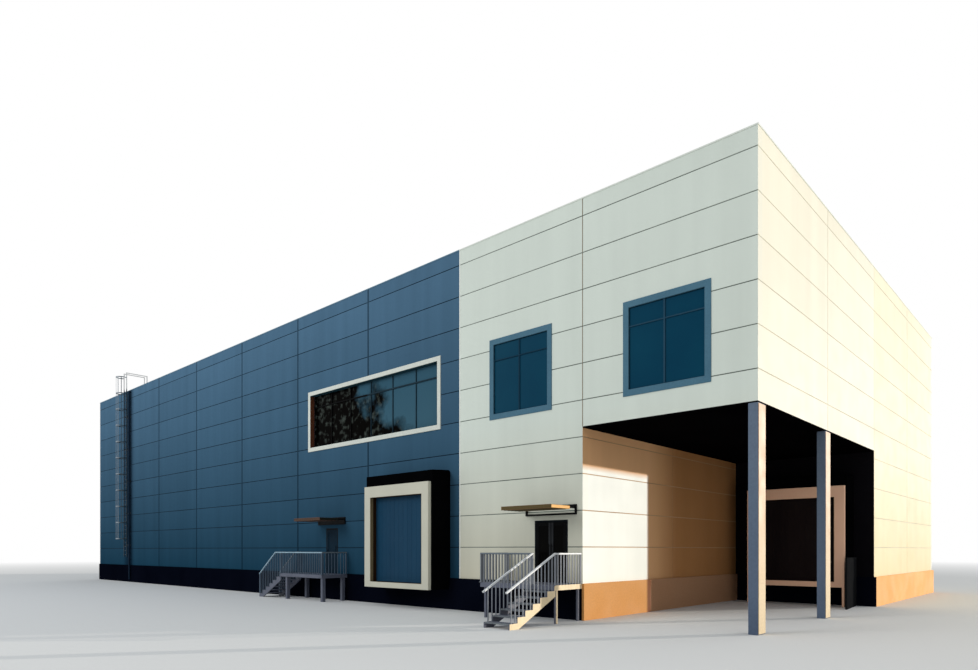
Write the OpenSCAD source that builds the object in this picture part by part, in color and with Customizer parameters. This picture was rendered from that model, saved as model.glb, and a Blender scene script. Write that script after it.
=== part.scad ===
// Factory building, half scale model, millimetres.
// The long front faces -Y and the short side faces +X.

/* [Building] */
// Length of one bay
bay = 2950; // [2600:10:3300]
// Bays along the front
bays_long = 9; // [8:1:12]
// Bays along the side
bays_wide = 4; // [4:1:6]
// Height of the walls with their coping
wall_h = 6900; // [6700:10:7400]
// Thickness of the walls
wall_t = 150; // [100:5:200]
// Height of the plinth
plinth_h = 600; // [560:10:640]
// Reach of the plinth beyond the front and rear faces
plinth_proud = 20; // [5:1:40]
// Reach of the plinth beyond the side and end faces
plinth_side = 45; // [5:1:60]
// Height of one wall panel
panel_h = 600; // [400:10:900]
// Width of the joints between the panels
joint_w = 16; // [8:1:30]
// Depth of the joints between the panels
joint_d = 8; // [3:1:20]
// Bays with light panels beside the corner
light_bays = 2; // [2:1:2]

/* [Porch] */
// Clear height of the porch
porch_h = 3165; // [2900:5:3300]
// Thickness of the lining under the porch ceiling
soffit_t = 20; // [10:1:40]
// Reach of the dark wall lining beyond the bay line
lining_t = 20; // [10:1:40]
// Width of a porch column along the front
column_w = 140; // [100:5:220]
// Depth of a porch column along the side
column_d = 260; // [150:5:400]

/* [Floors and roof] */
// Thickness of the ground floor
ground_t = 150; // [80:5:250]
// Thickness of the upper floor
floor_t = 140; // [80:5:250]
// Bays covered by the upper floor
floor_bays = 4; // [4:1:6]
// Thickness of the roof
roof_t = 100; // [60:5:200]
// Depth of the roof surface below the wall top
roof_drop = 220; // [120:5:300]
// Height of the coping
coping_h = 20; // [10:1:40]
// Reach of the coping beyond the wall face
coping_over = 8; // [2:1:15]

/* [Square windows] */
// Width of the window frames
window_w = 1480; // [1200:10:1700]
// Height of the window frames
window_h = 1465; // [1200:5:1500]
// Height of the frames' lower edge above ground
window_z = 3525; // [3400:5:3700]
// Distance from the corner to the second window's middle
window_a_x = 4340; // [4000:10:4700]
// Distance from the corner to the first window's middle
window_b_x = 1420; // [1200:10:1700]
// Face width of the window frames
window_face = 100; // [60:1:150]
// Reach of the frames beyond the wall face
window_proud = 12; // [8:1:40]
// Width of the middle bars
bar_w = 30; // [20:1:70]
// Distance of the middle bars from the middle
bar_shift = 20; // [0:5:60]
// Height of the cross bars' middle above the frames' lower edge
bar_z = 1073; // [800:1:1150]
// Height of the cross bars
bar_h = 18; // [12:1:50]
// Depth of the bars in front of the panes
bar_d = 15; // [8:1:18]
// Overlap of the frames on the wall face
window_lap = 40; // [15:1:60]
// Thickness of the panes
glass_t = 12; // [6:1:20]
// Depth of the panes behind the wall face
glass_y = 20; // [20:1:60]

/* [Ribbon window] */
// Width of the ribbon window
ribbon_w = 4860; // [4000:10:5400]
// Height of the ribbon window
ribbon_h = 1450; // [1250:5:1460]
// Distance of the ribbon's middle beyond the third bay line
ribbon_shift = 15; // [-150:5:150]
// Face width of the ribbon's surround
ribbon_face = 96; // [60:1:140]
// Reach of the surround beyond the wall face
ribbon_proud = 20; // [12:1:60]
// Lights in the ribbon window
ribbon_lights = 6; // [4:1:8]
// Width of the ribbon's uprights
ribbon_bar = 16; // [12:1:50]
// Height of the ribbon's cross bar
ribbon_cross = 28; // [15:1:50]
// Depth of the ribbon's bars in front of its pane
ribbon_bar_d = 20; // [10:1:95]
// Depth of the ribbon's pane behind the wall face
ribbon_glass_y = 100; // [100:1:130]

/* [Doors] */
// Width of the entrance opening
entrance_w = 730; // [700:5:800]
// Distance from the corner to the entrance's middle
entrance_x = 3620; // [3580:5:3700]
// Width of the service opening
service_w = 490; // [450:5:600]
// Distance from the corner to the service door's middle
service_x = 10275; // [10100:5:10400]
// Height of the door openings above the plinth
door_h = 1055; // [950:5:1150]
// Width of the door frames
frame_w = 30; // [20:1:40]
// Depth of the door frames
frame_d = 100; // [60:1:120]
// Thickness of the door leaves
leaf_t = 28; // [20:1:34]
// Gap around the door leaves
leaf_gap = 7; // [6:1:10]
// Gap between the two entrance leaves
meet_gap = 10; // [9:1:14]
// Width of the stiles and rails of the entrance leaves
stile_w = 48; // [30:1:60]
// Depth of the glazed panel in the entrance leaves
panel_set = 8; // [3:1:10]
// Reach of the door handles
handle_d = 32; // [20:1:45]
// Thickness of the door handles
handle_w = 10; // [8:1:14]
// Radius of the hinge knuckles
hinge_r = 6; // [5:0.5:8]
// Height of one hinge
hinge_h = 40; // [30:1:60]
// Thickness of the hinge plates
hinge_plate = 4; // [3:0.5:5]
// Length of the hinge plates
hinge_l = 22; // [14:1:28]
// Clearance in the hinges
hinge_gap = 0.3; // [0.2:0.1:0.5]

/* [Loading docks] */
// Width of a dock's frame
dock_w = 2035; // [1800:5:2200]
// Reach of a dock's box beyond the frame on each side
dock_box_side = 35; // [10:1:60]
// Distance from the corner to the front dock's middle
dock_x = 7210; // [7100:5:7300]
// Distance from the corner to the porch dock's middle
porch_dock_x = 1435; // [1400:5:1500]
// Height of the lower edge above ground
dock_z = 390; // [300:5:450]
// Height of the box top's front edge above ground
dock_top = 2672; // [2460:2:2800]
// Rise of the box top towards the wall
dock_fall = 33; // [5:1:60]
// Bevel along the box top's sides
dock_bevel = 40; // [10:1:60]
// Height of the frame top above ground
dock_frame_top = 2450; // [2300:5:2440]
// Face width of the frame's sides
dock_side = 200; // [120:5:300]
// Face width of the frame's head
dock_head = 228; // [120:2:300]
// Face width of the frame's foot
dock_foot = 112; // [60:2:180]
// Reach of the box in front of the wall
dock_box_d = 450; // [300:5:600]
// Thickness of the frame in front of the box
dock_frame_d = 77; // [30:1:100]
// Depth of the door behind the frame's face
dock_reveal = 150; // [90:5:200]
// Thickness of the dock doors
dock_door_t = 40; // [20:1:60]
// Width of the posts under the porch dock
dock_leg = 50; // [30:1:80]

/* [Canopies] */
// Width of a canopy
canopy_w = 1090; // [950:5:1200]
// Reach of a canopy in front of the wall
canopy_d = 650; // [400:5:800]
// Distance of a canopy from the wall
canopy_off = 180; // [80:5:260]
// Thickness of a canopy
canopy_t = 55; // [45:1:110]
// Height of a canopy's underside above ground
canopy_z = 1815; // [1780:5:1900]
// Drop of the wall frame below the canopy
canopy_drop = 80; // [40:1:90]
// Rise of the wall frame above the canopy
canopy_rise = 32; // [26:1:60]
// Thickness of the wall frame's tubes
tube = 30; // [15:1:30]
// Reach of the wall frame beyond a canopy's sides
canopy_side = 10; // [5:1:14]

/* [Landings and stairs] */
// Length of the front landing
landing_w = 1665; // [1500:5:1800]
// Depth of the front landing
landing_d = 700; // [600:5:800]
// Length of the service landing
service_landing_w = 1780; // [1600:5:1900]
// Depth of the service landing
service_landing_d = 665; // [600:5:800]
// Distance from the recess corner to the front landing
landing_gap = 0; // [0:1:60]
// Thickness of the landings
landing_t = 80; // [60:5:140]
// Distance from the corner to the service landing's near end
service_landing_x = 9625; // [9500:5:9800]
// Risers in a flight
risers = 7; // [6:1:9]
// Going of one step
going = 168; // [130:1:180]
// Width of a flight
stair_w = 530; // [500:5:650]
// Thickness of the treads
tread_t = 20; // [10:1:30]
// Thickness of the strings beside the treads
string_t = 24; // [15:1:40]
// Length of the strings' foot on the ground
string_foot = 190; // [120:5:220]
// Width of the posts under the front landing
post_w = 40; // [30:1:80]
// Distance of the front landing's far posts from its end
post_in = 70; // [12:1:200]
// Width of the posts under the service landing
service_post_w = 75; // [40:1:100]
// Distance of the service landing's far posts from its end
service_post_in = 180; // [12:1:300]
// Distance of the front posts behind a landing's edge
post_back = 28; // [12:1:80]
// Distance of the rear posts from the plinth
post_rear = 50; // [12:1:100]

/* [Railings] */
// Height of the railings
rail_h = 500; // [450:5:560]
// Width of rails and end posts
rail_w = 24; // [15:1:24]
// Width of the balusters
baluster_w = 14; // [8:1:20]
// Spacing of the balusters on the landings
baluster_gap = 75; // [60:1:120]
// Reach of the front stair rails beyond the last step
rail_over = 60; // [40:5:160]
// Inset of the front flight's far rail
rail_inset = 38; // [0:1:80]
// Reach of the service rails' level part beyond the landing
service_level = 255; // [0:5:330]

/* [Roof ladder] */
// Distance from the corner to the ladder's middle
ladder_x = 23400; // [23000:10:23600]
// Width of the ladder
ladder_w = 250; // [200:5:300]
// Distance of the ladder from the wall
ladder_off = 110; // [90:5:150]
// Size of the ladder's stiles
ladder_stile = 25; // [15:1:40]
// Height of the ladder's foot above ground
ladder_z = 900; // [300:10:1500]
// Height of the lowest wall bracket above the ladder's foot
bracket_z = 400; // [100:10:700]
// Rise of the hand posts above the wall top
ladder_rise = 600; // [400:10:700]
// Height of the lowest rung above the ladder's foot
rung_z = 75; // [20:5:140]
// Spacing of the rungs
rung_gap = 150; // [120:1:200]
// Radius of the rungs
rung_r = 9; // [6:1:12]
// Height of the cage's foot above ground
cage_z = 1530; // [1400:10:1800]
// Spacing of the cage hoops
hoop_gap = 577; // [450:1:750]
// Height of a hoop's flat bar
hoop_h = 30; // [15:1:40]
// Thickness of a hoop's flat bar
hoop_t = 8; // [5:1:12]
// Outer radius of the hoops
hoop_r = 175; // [170:1:220]
// Length of the hand rails over the roof
rail_in = 550; // [300:10:700]

/* [Downpipe] */
// Distance of the downpipe's middle from the ladder's side
pipe_side = 65; // [62:1:120]
// Distance of the downpipe's middle from the wall
pipe_off = 58; // [56:1:70]
// Radius of the downpipe
pipe_r = 30; // [24:1:34]
// Wall of the downpipe
pipe_t = 3; // [2:1:5]
// Height of the downpipe's foot above ground
pipe_foot = 90; // [40:5:200]
// Depth of the downpipe's head below the coping
pipe_head = 45; // [40:5:120]
// Number of wall brackets on the downpipe
pipe_clips = 6; // [4:1:9]
// Height of the lowest pipe bracket above the plinth
pipe_clip_foot = 200; // [100:10:400]
// Depth of the highest pipe bracket below the downpipe's head
pipe_clip_head = 300; // [150:10:500]

/* [Guard panel] */
// Height of the guard panel
guard_h = 1000; // [800:5:1200]
// Thickness of the guard panel
guard_t = 40; // [30:1:50]
// Gap between the guard panel's rear end and the porch dock's box
guard_gap = 17.5; // [10:0.5:40]
// Swing of the guard panel's front end towards the side face
guard_swing = 120; // [60:5:160]
// Reach of the guard panel from the porch's rear wall
guard_l = 1090; // [900:10:1200]

/* [Hidden] */
total_l = bays_long * bay;
total_w = bays_wide * bay;
top_z = wall_h - coping_h;
yb = 2 * bay;
xl = light_bays * bay;
inner_l = total_l - wall_t;
inner_w = total_w - wall_t;
back_y = yb + wall_t - lining_t;
roof_z = wall_h - roof_drop;
rise = plinth_h / risers;
tab = string_t;
flight = (risers - 1) * going + tab;
front_reach = landing_d + flight + rail_over;
side_reach = max(plinth_proud, coping_over, ribbon_proud, window_proud);
mid_x = -total_l / 2;
mid_y = (total_w + side_reach - front_reach) / 2;
door_top = plinth_h + door_h;
window_top = window_z + window_h;
dock_in_w = dock_w - 2 * dock_side;
dock_box_w = dock_w + 2 * dock_box_side;
guard_x = porch_dock_x - dock_box_w / 2 - guard_gap - guard_t;
pipe_x = ladder_x - ladder_w / 2 - pipe_side;
dock_in_z = dock_z + dock_foot;
dock_in_top = dock_frame_top - dock_head;
dock_high = dock_top + dock_fall;
dock_door_y = dock_reveal - dock_box_d - dock_frame_d;
ribbon_x = 3 * bay + ribbon_shift;
ribbon_l = -ribbon_x - ribbon_w / 2;
landing_r = -bay - landing_gap;
landing_l = landing_r - landing_w;
serv_r = -service_landing_x;
serv_l = serv_r - service_landing_w;
entrance_leaf_w = (entrance_w - 2 * frame_w - 2 * leaf_gap - meet_gap) / 2;
hinge_y = -hinge_r - 0.5;
hinge_left = -entrance_x - entrance_w / 2 + frame_w + leaf_gap / 2;
hinge_right = -entrance_x + entrance_w / 2 - frame_w - leaf_gap / 2;
hinge_service = -service_x - service_w / 2 + frame_w + leaf_gap / 2;
leaf_h = door_h - frame_w - 2 * leaf_gap;
hoop_off = sqrt(pow(hoop_r, 2) - pow(ladder_w / 2 + ladder_stile / 2 - 0.5, 2));
hoops = floor((wall_h + ladder_rise - cage_z - hoop_h) / hoop_gap) + 1;

cream = [0.80, 0.80, 0.73];
slate = [0.30, 0.39, 0.47];
dark = [0.07, 0.08, 0.11];
tan = [0.78, 0.60, 0.42];
black = [0.04, 0.04, 0.05];
grey = [0.55, 0.56, 0.57];
pale = [0.78, 0.78, 0.77];

// Moves the corner frame to the middle of the model's base
module place() translate([-mid_x, -mid_y, 0]) children();

// Repeats the children of the front face on the rear face
module on_rear() translate([0, total_w, 0]) mirror([0, 1, 0]) children();

module on_both() {
  children();
  on_rear() children();
}

// Heights of the level joints between two heights
function level_joints(z0, z1) =
  [for (z = [2 * panel_h:panel_h:top_z - 1]) if (z > z0 && z < z1) z];

// Section of a panel wall, outer face at x 0, with its level joints
module wall_section(z0, z1) difference() {
  translate([0, z0]) square([wall_t, z1 - z0]);
  for (z = level_joints(z0, z1))
    translate([-1, z - joint_w / 2]) square([joint_d + 1, joint_w]);
}

// Level joints carried round the bare end of a wall at x
module end_joints(x, z0, z1) for (z = level_joints(z0, z1))
  translate([x - joint_d, -1, z - joint_w / 2]) cube([2 * joint_d, wall_t + 2, joint_w]);

// Panel wall along X from a to b, facing -Y, with upright joints
module panel_wall(a, b, z0, z1, joints = []) {
  difference() {
    translate([a, 0, 0]) rotate([90, 0, 90])
      linear_extrude(height = b - a) wall_section(z0, z1);
    for (x = joints)
      translate([x - joint_w / 2, -1, z0 - 1])
        cube([joint_w, joint_d + 1, z1 - z0 + 2]);
  }
}

// Box through a front wall from the given middle, width and heights
module wall_hole(x, w, z0, z1) translate([x - w / 2, -1, z0]) cube([w, wall_t + 2, z1 - z0]);

module plinth_dark_long() color(dark) place() {
  translate([-total_l - plinth_side, -plinth_proud, 0])
    cube([total_l + plinth_side - bay, wall_t + plinth_proud, plinth_h]);
  translate([-total_l - plinth_side, inner_w, 0])
    cube([total_l + plinth_side - xl, wall_t + plinth_proud, plinth_h]);
}

module plinth_dark_cross() color(dark) place() {
  translate([-total_l - plinth_side, wall_t, 0])
    cube([wall_t + plinth_side, inner_w - wall_t, plinth_h]);
  linear_extrude(height = plinth_h) {
    translate([-bay + plinth_side, yb - lining_t - plinth_proud])
      square([bay, lining_t + plinth_proud]);
    translate([-bay + plinth_side, yb - lining_t])
      square([bay - plinth_side - wall_t, wall_t]);
  }
}

module plinth_tan_cross() color(tan) place() {
  linear_extrude(height = plinth_h) {
    translate([-bay, -plinth_proud]) square([plinth_side, wall_t + plinth_proud + 1]);
    translate([-bay - wall_t, wall_t])
      square([wall_t + plinth_side, back_y - wall_t]);
  }
  translate([-wall_t, yb, 0]) cube([wall_t + plinth_side, inner_w - yb, plinth_h]);
}

module plinth_tan_rear() color(tan) place()
  translate([-xl, inner_w, 0]) cube([xl + plinth_side, wall_t + plinth_proud, plinth_h]);

// Hole behind a square window's frame
module window_hole(x) wall_hole(x, window_w - 2 * window_lap, window_z + window_lap,
  window_top - window_lap);

module ribbon_hole() wall_hole(-ribbon_x, ribbon_w, window_z, window_z + ribbon_h);

module wall_entrance_low() color(cream) place() difference() {
  union() {
    panel_wall(-xl, -entrance_x - entrance_w / 2, plinth_h, door_top);
    panel_wall(-entrance_x + entrance_w / 2, -bay, plinth_h, door_top);
  }
  end_joints(-bay, plinth_h, door_top);
}

module wall_entrance_high() color(cream) place() difference() {
  panel_wall(-xl, -bay, door_top, top_z);
  translate([-bay - joint_w / 2, -1, porch_h]) cube([joint_w, joint_d + 1, top_z]);
  window_hole(-window_a_x);
  end_joints(-bay, door_top, porch_h);
}

module wall_porch_front() color(cream) place() difference() {
  panel_wall(-bay, 0, porch_h, top_z, [-bay]);
  window_hole(-window_b_x);
  end_joints(0, porch_h, top_z);
}

module wall_blue_low() color(slate) place() {
  panel_wall(-floor_bays * bay, -service_x - service_w / 2, plinth_h, door_top);
  panel_wall(-service_x + service_w / 2, -dock_x - dock_in_w / 2, plinth_h, door_top, [-3 * bay]);
  panel_wall(-dock_x + dock_in_w / 2, -xl, plinth_h, door_top, [-xl]);
}

module wall_blue_high() color(slate) place() difference() {
  panel_wall(-floor_bays * bay, -xl, door_top, top_z, [-3 * bay, -xl]);
  wall_hole(-dock_x, dock_in_w, door_top - 1, dock_in_top);
  ribbon_hole();
}

module wall_blue_long() color(slate) place() difference() {
  panel_wall(-total_l, -floor_bays * bay, plinth_h, top_z,
    [for (k = [floor_bays:bays_long - 1]) -k * bay]);
  end_joints(-total_l, plinth_h, top_z);
}

module wall_end() color(slate) place() translate([-total_l, 0, 0]) rotate([0, 0, -90])
  panel_wall(-inner_w, -wall_t, plinth_h, top_z, [for (k = [1:bays_wide - 1]) -k * bay]);

module wall_rear_blue() color(slate) place() on_rear() difference() {
  panel_wall(-total_l, -xl, plinth_h, top_z, [for (k = [light_bays:bays_long - 1]) -k * bay]);
  ribbon_hole();
  end_joints(-total_l, plinth_h, top_z);
}

module wall_rear_cream() color(cream) place() on_rear() difference() {
  panel_wall(-xl, 0, plinth_h, top_z, [-bay, -xl]);
  window_hole(-window_a_x);
  window_hole(-window_b_x);
  end_joints(0, plinth_h, top_z);
}

module wall_side_rear() color(cream) place() rotate([0, 0, 90])
  panel_wall(yb, inner_w, plinth_h, top_z, [for (k = [3:bays_wide - 1]) k * bay]);

module wall_side_porch() color(cream) place() rotate([0, 0, 90])
  panel_wall(wall_t, yb, porch_h, top_z, [bay, yb]);

module recess_wall() color(cream) place() translate([-bay, 0, 0]) rotate([0, 0, 90])
  panel_wall(wall_t, back_y, plinth_h, porch_h, [bay]);

module recess_back_wall() color(black) place() difference() {
  translate([0, 0, plinth_h]) linear_extrude(height = porch_h - plinth_h) {
    translate([-bay, yb - lining_t]) square([bay, lining_t]);
    translate([-bay, yb - lining_t]) square([bay - wall_t, wall_t]);
  }
  translate([0, yb - lining_t, 0]) wall_hole(-porch_dock_x, dock_in_w, 0, dock_in_top);
}

module ground_floor() color(grey) place()
  translate([0, 0, plinth_h - ground_t]) linear_extrude(height = ground_t) {
    translate([-inner_l, wall_t]) square([inner_l - bay - wall_t, inner_w - wall_t]);
    translate([-inner_l, back_y]) square([inner_l - wall_t, inner_w - back_y]);
  }

module upper_floor() color(grey) place()
  translate([-floor_bays * bay, wall_t, porch_h])
    cube([floor_bays * bay - wall_t, inner_w - wall_t, floor_t]);

module porch_soffit() color(black) place()
  translate([-bay, 0, porch_h - soffit_t]) cube([bay, yb - lining_t, soffit_t]);

module roof() color(grey) place()
  translate([-inner_l, wall_t, roof_z - roof_t])
    cube([inner_l - wall_t, inner_w - wall_t, roof_t]);

module coping() color(slate) place() translate([0, 0, top_z])
  linear_extrude(height = coping_h) difference() {
    translate([-total_l - coping_over, -coping_over])
      square([total_l + 2 * coping_over, total_w + 2 * coping_over]);
    translate([-inner_l + coping_over, wall_t + coping_over])
      square([inner_l - wall_t - 2 * coping_over, inner_w - wall_t - 2 * coping_over]);
  }

module porch_columns() color(pale) place() {
  translate([-column_w, 0, 0]) cube([column_w, column_d, porch_h - soffit_t]);
  translate([-column_w, bay - column_d / 2, 0]) cube([column_w, column_d, porch_h - soffit_t]);
}

// Dock tunnel on the wall face y 0 with its middle on x 0
module dock_box() difference() {
  intersection() {
    translate([-dock_box_w / 2, 0, 0]) rotate([90, 0, 90]) linear_extrude(height = dock_box_w)
      polygon([[0, dock_z], [0, dock_high], [-dock_box_d, dock_top], [-dock_box_d, dock_z]]);
    translate([0, 1, 0]) rotate([90, 0, 0]) linear_extrude(height = dock_box_d + 2)
      polygon([[-dock_box_w / 2, dock_z], [dock_box_w / 2, dock_z],
        [dock_box_w / 2, dock_high - dock_bevel], [dock_box_w / 2 - dock_bevel, dock_high],
        [dock_bevel - dock_box_w / 2, dock_high], [-dock_box_w / 2, dock_high - dock_bevel]]);
  }
  translate([-dock_in_w / 2, -dock_box_d - 1, dock_in_z])
    cube([dock_in_w, dock_box_d + 2, dock_in_top - dock_in_z]);
  translate([-dock_box_w / 2 - 1, -plinth_proud, dock_z - 1])
    cube([dock_box_w + 2, plinth_proud + 1, plinth_h - dock_z + 1]);
}

module dock_frame() translate([0, -dock_box_d, 0]) rotate([90, 0, 0])
  linear_extrude(height = dock_frame_d) difference() {
    translate([-dock_w / 2, dock_z]) square([dock_w, dock_frame_top - dock_z]);
    translate([-dock_in_w / 2, dock_in_z]) square([dock_in_w, dock_in_top - dock_in_z]);
  }

module dock_door() translate([-dock_in_w / 2, dock_door_y, dock_in_z])
  cube([dock_in_w, dock_door_t, dock_in_top - dock_in_z]);

module dock_leg() translate([0, -dock_box_d - dock_frame_d, 0])
  cube([dock_leg, dock_frame_d, dock_z]);

module dock_boxes() color(black) place() {
  translate([-dock_x, 0, 0]) dock_box();
  translate([-porch_dock_x, yb - lining_t, 0]) dock_box();
}

module dock_frames() color(cream) place() {
  translate([-dock_x, 0, 0]) dock_frame();
  translate([-porch_dock_x, yb - lining_t, 0]) {
    dock_frame();
    translate([-dock_w / 2, 0, 0]) dock_leg();
    translate([dock_w / 2 - dock_leg, 0, 0]) dock_leg();
  }
}

module dock_door_front() color(slate) place() translate([-dock_x, 0, 0]) dock_door();

module dock_door_porch() color(dark) place()
  translate([-porch_dock_x, yb - lining_t, 0]) dock_door();

// Upright ring from y down to y - d, outer and inner sizes about the middle
module upright_ring(y, d, w, h, face) translate([0, y, 0]) rotate([90, 0, 0])
  linear_extrude(height = d) difference() {
    translate([-w / 2, 0]) square([w, h]);
    translate([-w / 2 + face, face]) square([w - 2 * face, h - 2 * face]);
  }

module ribbon_frame() color(cream) place() on_both() translate([-ribbon_x, 0, window_z])
  upright_ring(wall_t, wall_t + ribbon_proud, ribbon_w, ribbon_h, ribbon_face);

module ribbon_bar_set()
  translate([-ribbon_x, ribbon_glass_y - ribbon_bar_d, window_z]) {
    light = (ribbon_w - 2 * ribbon_face) / ribbon_lights;
    for (k = [1:ribbon_lights - 1])
      translate([k * light - ribbon_w / 2 + ribbon_face - ribbon_bar / 2, 0, ribbon_face])
        cube([ribbon_bar, ribbon_bar_d, ribbon_h - 2 * ribbon_face]);
    translate([-ribbon_w / 2 + ribbon_face, 0, bar_z - ribbon_cross / 2])
      cube([ribbon_w - 2 * ribbon_face, ribbon_bar_d, ribbon_cross]);
  }

module at_windows() on_both() for (x = [window_a_x, window_b_x])
  translate([-x, 0, window_z]) children();

module window_frames() color([0.36, 0.47, 0.56]) place() at_windows() {
  upright_ring(0, window_proud, window_w, window_h, window_face);
  translate([0, 0, window_lap])
    upright_ring(glass_y, glass_y, window_w - 2 * window_lap, window_h - 2 * window_lap,
      window_face - window_lap);
}

module window_bar_set() translate([0, glass_y - bar_d, 0]) {
  translate([-bar_w / 2 - bar_shift, 0, window_face])
    cube([bar_w, bar_d, window_h - 2 * window_face]);
  translate([-window_w / 2 + window_face, 0, bar_z - bar_h / 2])
    cube([window_w - 2 * window_face, bar_d, bar_h]);
}

module window_bars() color([0.07, 0.12, 0.18]) place() {
  at_windows() window_bar_set();
  on_both() ribbon_bar_set();
}

module window_glass() color([0.10, 0.20, 0.28]) place() {
  at_windows() translate([-window_w / 2 + window_lap, glass_y, window_lap])
    cube([window_w - 2 * window_lap, glass_t, window_h - 2 * window_lap]);
  on_both() translate([ribbon_l + ribbon_face, ribbon_glass_y, window_z + ribbon_face])
    cube([ribbon_w - 2 * ribbon_face, glass_t, ribbon_h - 2 * ribbon_face]);
}

// Door frame with its stop, about the middle of an opening of the given width
module door_frame(w) rotate([90, 0, 0]) {
  translate([0, 0, -frame_d]) linear_extrude(height = frame_d) door_bars(w, frame_w);
  translate([0, 0, -frame_d]) linear_extrude(height = frame_d - leaf_t - leaf_gap)
    door_bars(w, frame_w + 2 * leaf_gap);
}

module door_bars(w, face) difference() {
  translate([-w / 2, 0]) square([w, door_h]);
  translate([-w / 2 + face, -1]) square([w - 2 * face, door_h - face + 1]);
}

// Hinge halves on an upright axis at the origin, the carrying half towards -X
module hinge_halves(z, h, side) for (k = [0.1, 0.5, 0.84]) translate([0, 0, k * leaf_h + z]) {
  cylinder(r = hinge_r, h = h, $fn = 32);
  translate([side < 0 ? -hinge_l : 0, -hinge_y - hinge_plate, 0])
    cube([hinge_l, hinge_plate, h]);
}

module frame_hinges() hinge_halves(0, hinge_h / 2, -1);

module leaf_hinges() hinge_halves(hinge_h / 2 + hinge_gap, hinge_h / 2, 1);

module door_frames() color(black) place() {
  translate([-entrance_x, 0, plinth_h]) door_frame(entrance_w);
  translate([-service_x, 0, plinth_h]) door_frame(service_w);
  translate([hinge_left, hinge_y, plinth_h + leaf_gap]) frame_hinges();
  translate([hinge_right, hinge_y, plinth_h + leaf_gap]) mirror([1, 0, 0]) frame_hinges();
  translate([hinge_service, hinge_y, plinth_h + leaf_gap]) frame_hinges();
}

// Leaf about its hinge axis, with sunk panels and a handle near the far edge
module leaf(w, stile) {
  leaf_hinges();
  translate([leaf_gap / 2, -hinge_y, 0]) leaf_panel(w, stile);
}

module leaf_panel(w, stile) {
  difference() {
    cube([w, leaf_t, leaf_h]);
    for (y = [-1, leaf_t - panel_set])
      translate([stile, y, 2 * stile])
        cube([w - 2 * stile, panel_set + 1, leaf_h - 3 * stile]);
  }
  translate([w - stile / 2 - handle_w / 2, -handle_d, leaf_h * 0.4]) {
    cube([handle_w, handle_w, leaf_h * 0.24]);
    for (z = [leaf_h * 0.03, leaf_h * 0.2])
      translate([0, handle_w / 2, z]) cube([handle_w, handle_d, handle_w]);
  }
}

module entrance_leaf_left() color(dark) place()
  translate([hinge_left, hinge_y, plinth_h + leaf_gap]) leaf(entrance_leaf_w, stile_w);

module entrance_leaf_right() color(dark) place()
  translate([hinge_right, hinge_y, plinth_h + leaf_gap])
    mirror([1, 0, 0]) leaf(entrance_leaf_w, stile_w);

module service_leaf() color([0.25, 0.27, 0.30]) place()
  translate([hinge_service, hinge_y, plinth_h + leaf_gap])
    leaf(service_w - 2 * frame_w - 2 * leaf_gap, stile_w + 10);

module canopy() translate([-canopy_w / 2, -canopy_d, canopy_z])
  cube([canopy_w, canopy_d - canopy_off, canopy_t]);

module canopies() color([0.40, 0.27, 0.16]) place() {
  translate([-entrance_x, 0, 0]) canopy();
  translate([-service_x, 0, 0]) canopy();
}

// Wall frame with the two arms that carry a canopy
module canopy_frame() {
  translate([0, 0, canopy_z - canopy_drop])
    upright_ring(0, tube, canopy_w + 2 * canopy_side, canopy_drop + canopy_t + canopy_rise, tube);
  for (x = [-canopy_w / 2, canopy_w / 2 - tube])
    translate([x, -canopy_off, canopy_z + canopy_t - tube - 5])
      cube([tube, canopy_off - tube + 1, tube]);
}

module canopy_frames() color(black) place() {
  translate([-entrance_x, 0, 0]) canopy_frame();
  translate([-service_x, 0, 0]) canopy_frame();
}

module landings() color(pale) place() {
  translate([landing_l, -landing_d, plinth_h - landing_t])
    cube([landing_w, landing_d - plinth_proud, landing_t]);
  translate([serv_l, -service_landing_d, plinth_h - landing_t])
    cube([service_landing_w, service_landing_d - plinth_proud, landing_t]);
}

// A flight goes down along +X from the landing's edge at x 0
module flight_treads() for (i = [1:risers - 1])
  translate([tab + (i - 1) * going, 0, plinth_h - i * rise - tread_t])
    cube([going, stair_w, tread_t]);

module flight_string() rotate([90, 0, 0]) translate([0, 0, -string_t])
  linear_extrude(height = string_t) polygon(concat(
    [[0, rise / going * (flight - string_foot)], [0, plinth_h - 10], [tab, plinth_h - 10]],
    [for (i = [1:risers - 1], x = [0, 1])
      [tab + (i - 1 + x) * going, plinth_h - i * rise - tread_t]],
    [[flight, 0], [flight - string_foot, 0]]));

module flight_strings() {
  flight_string();
  translate([0, stair_w - string_t, 0]) flight_string();
}

module at_front_flight() translate([landing_r - stair_w, -landing_d, 0])
  rotate([0, 0, -90]) children();

module at_service_flight() translate([serv_l, -service_landing_d, 0])
  mirror([1, 0, 0]) children();

module stair_treads() color(pale) place() {
  at_front_flight() flight_treads();
  at_service_flight() flight_treads();
}

// Four posts under a landing between x0 and x1 with the given depth
module landing_posts(x0, x1, d, w)
  for (x = [x0, x1 - 12 - w], y = [post_back - d, -plinth_proud - post_rear - w])
    translate([x, y, 0]) cube([w, w, plinth_h - landing_t]);

module stair_supports() color(pale) place() {
  at_front_flight() flight_strings();
  at_service_flight() flight_strings();
  landing_posts(landing_l + post_in, landing_r, landing_d, post_w);
  landing_posts(serv_l + service_post_in, serv_r, service_landing_d, service_post_w);
}

// Level railing along X from a to b, standing on a landing
module level_rail(a, b) translate([0, 0, plinth_h]) {
  n = round((b - a) / baluster_gap);
  translate([a, 0, rail_h - rail_w]) cube([b - a, rail_w, rail_w]);
  for (x = [a, b - rail_w]) translate([x, 0, 0]) cube([rail_w, rail_w, rail_h]);
  for (k = [1:n - 1])
    translate([a + (b - a) * k / n - baluster_w / 2, rail_w / 2 - baluster_w / 2, 0])
      cube([baluster_w, baluster_w, rail_h - 1]);
}

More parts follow.
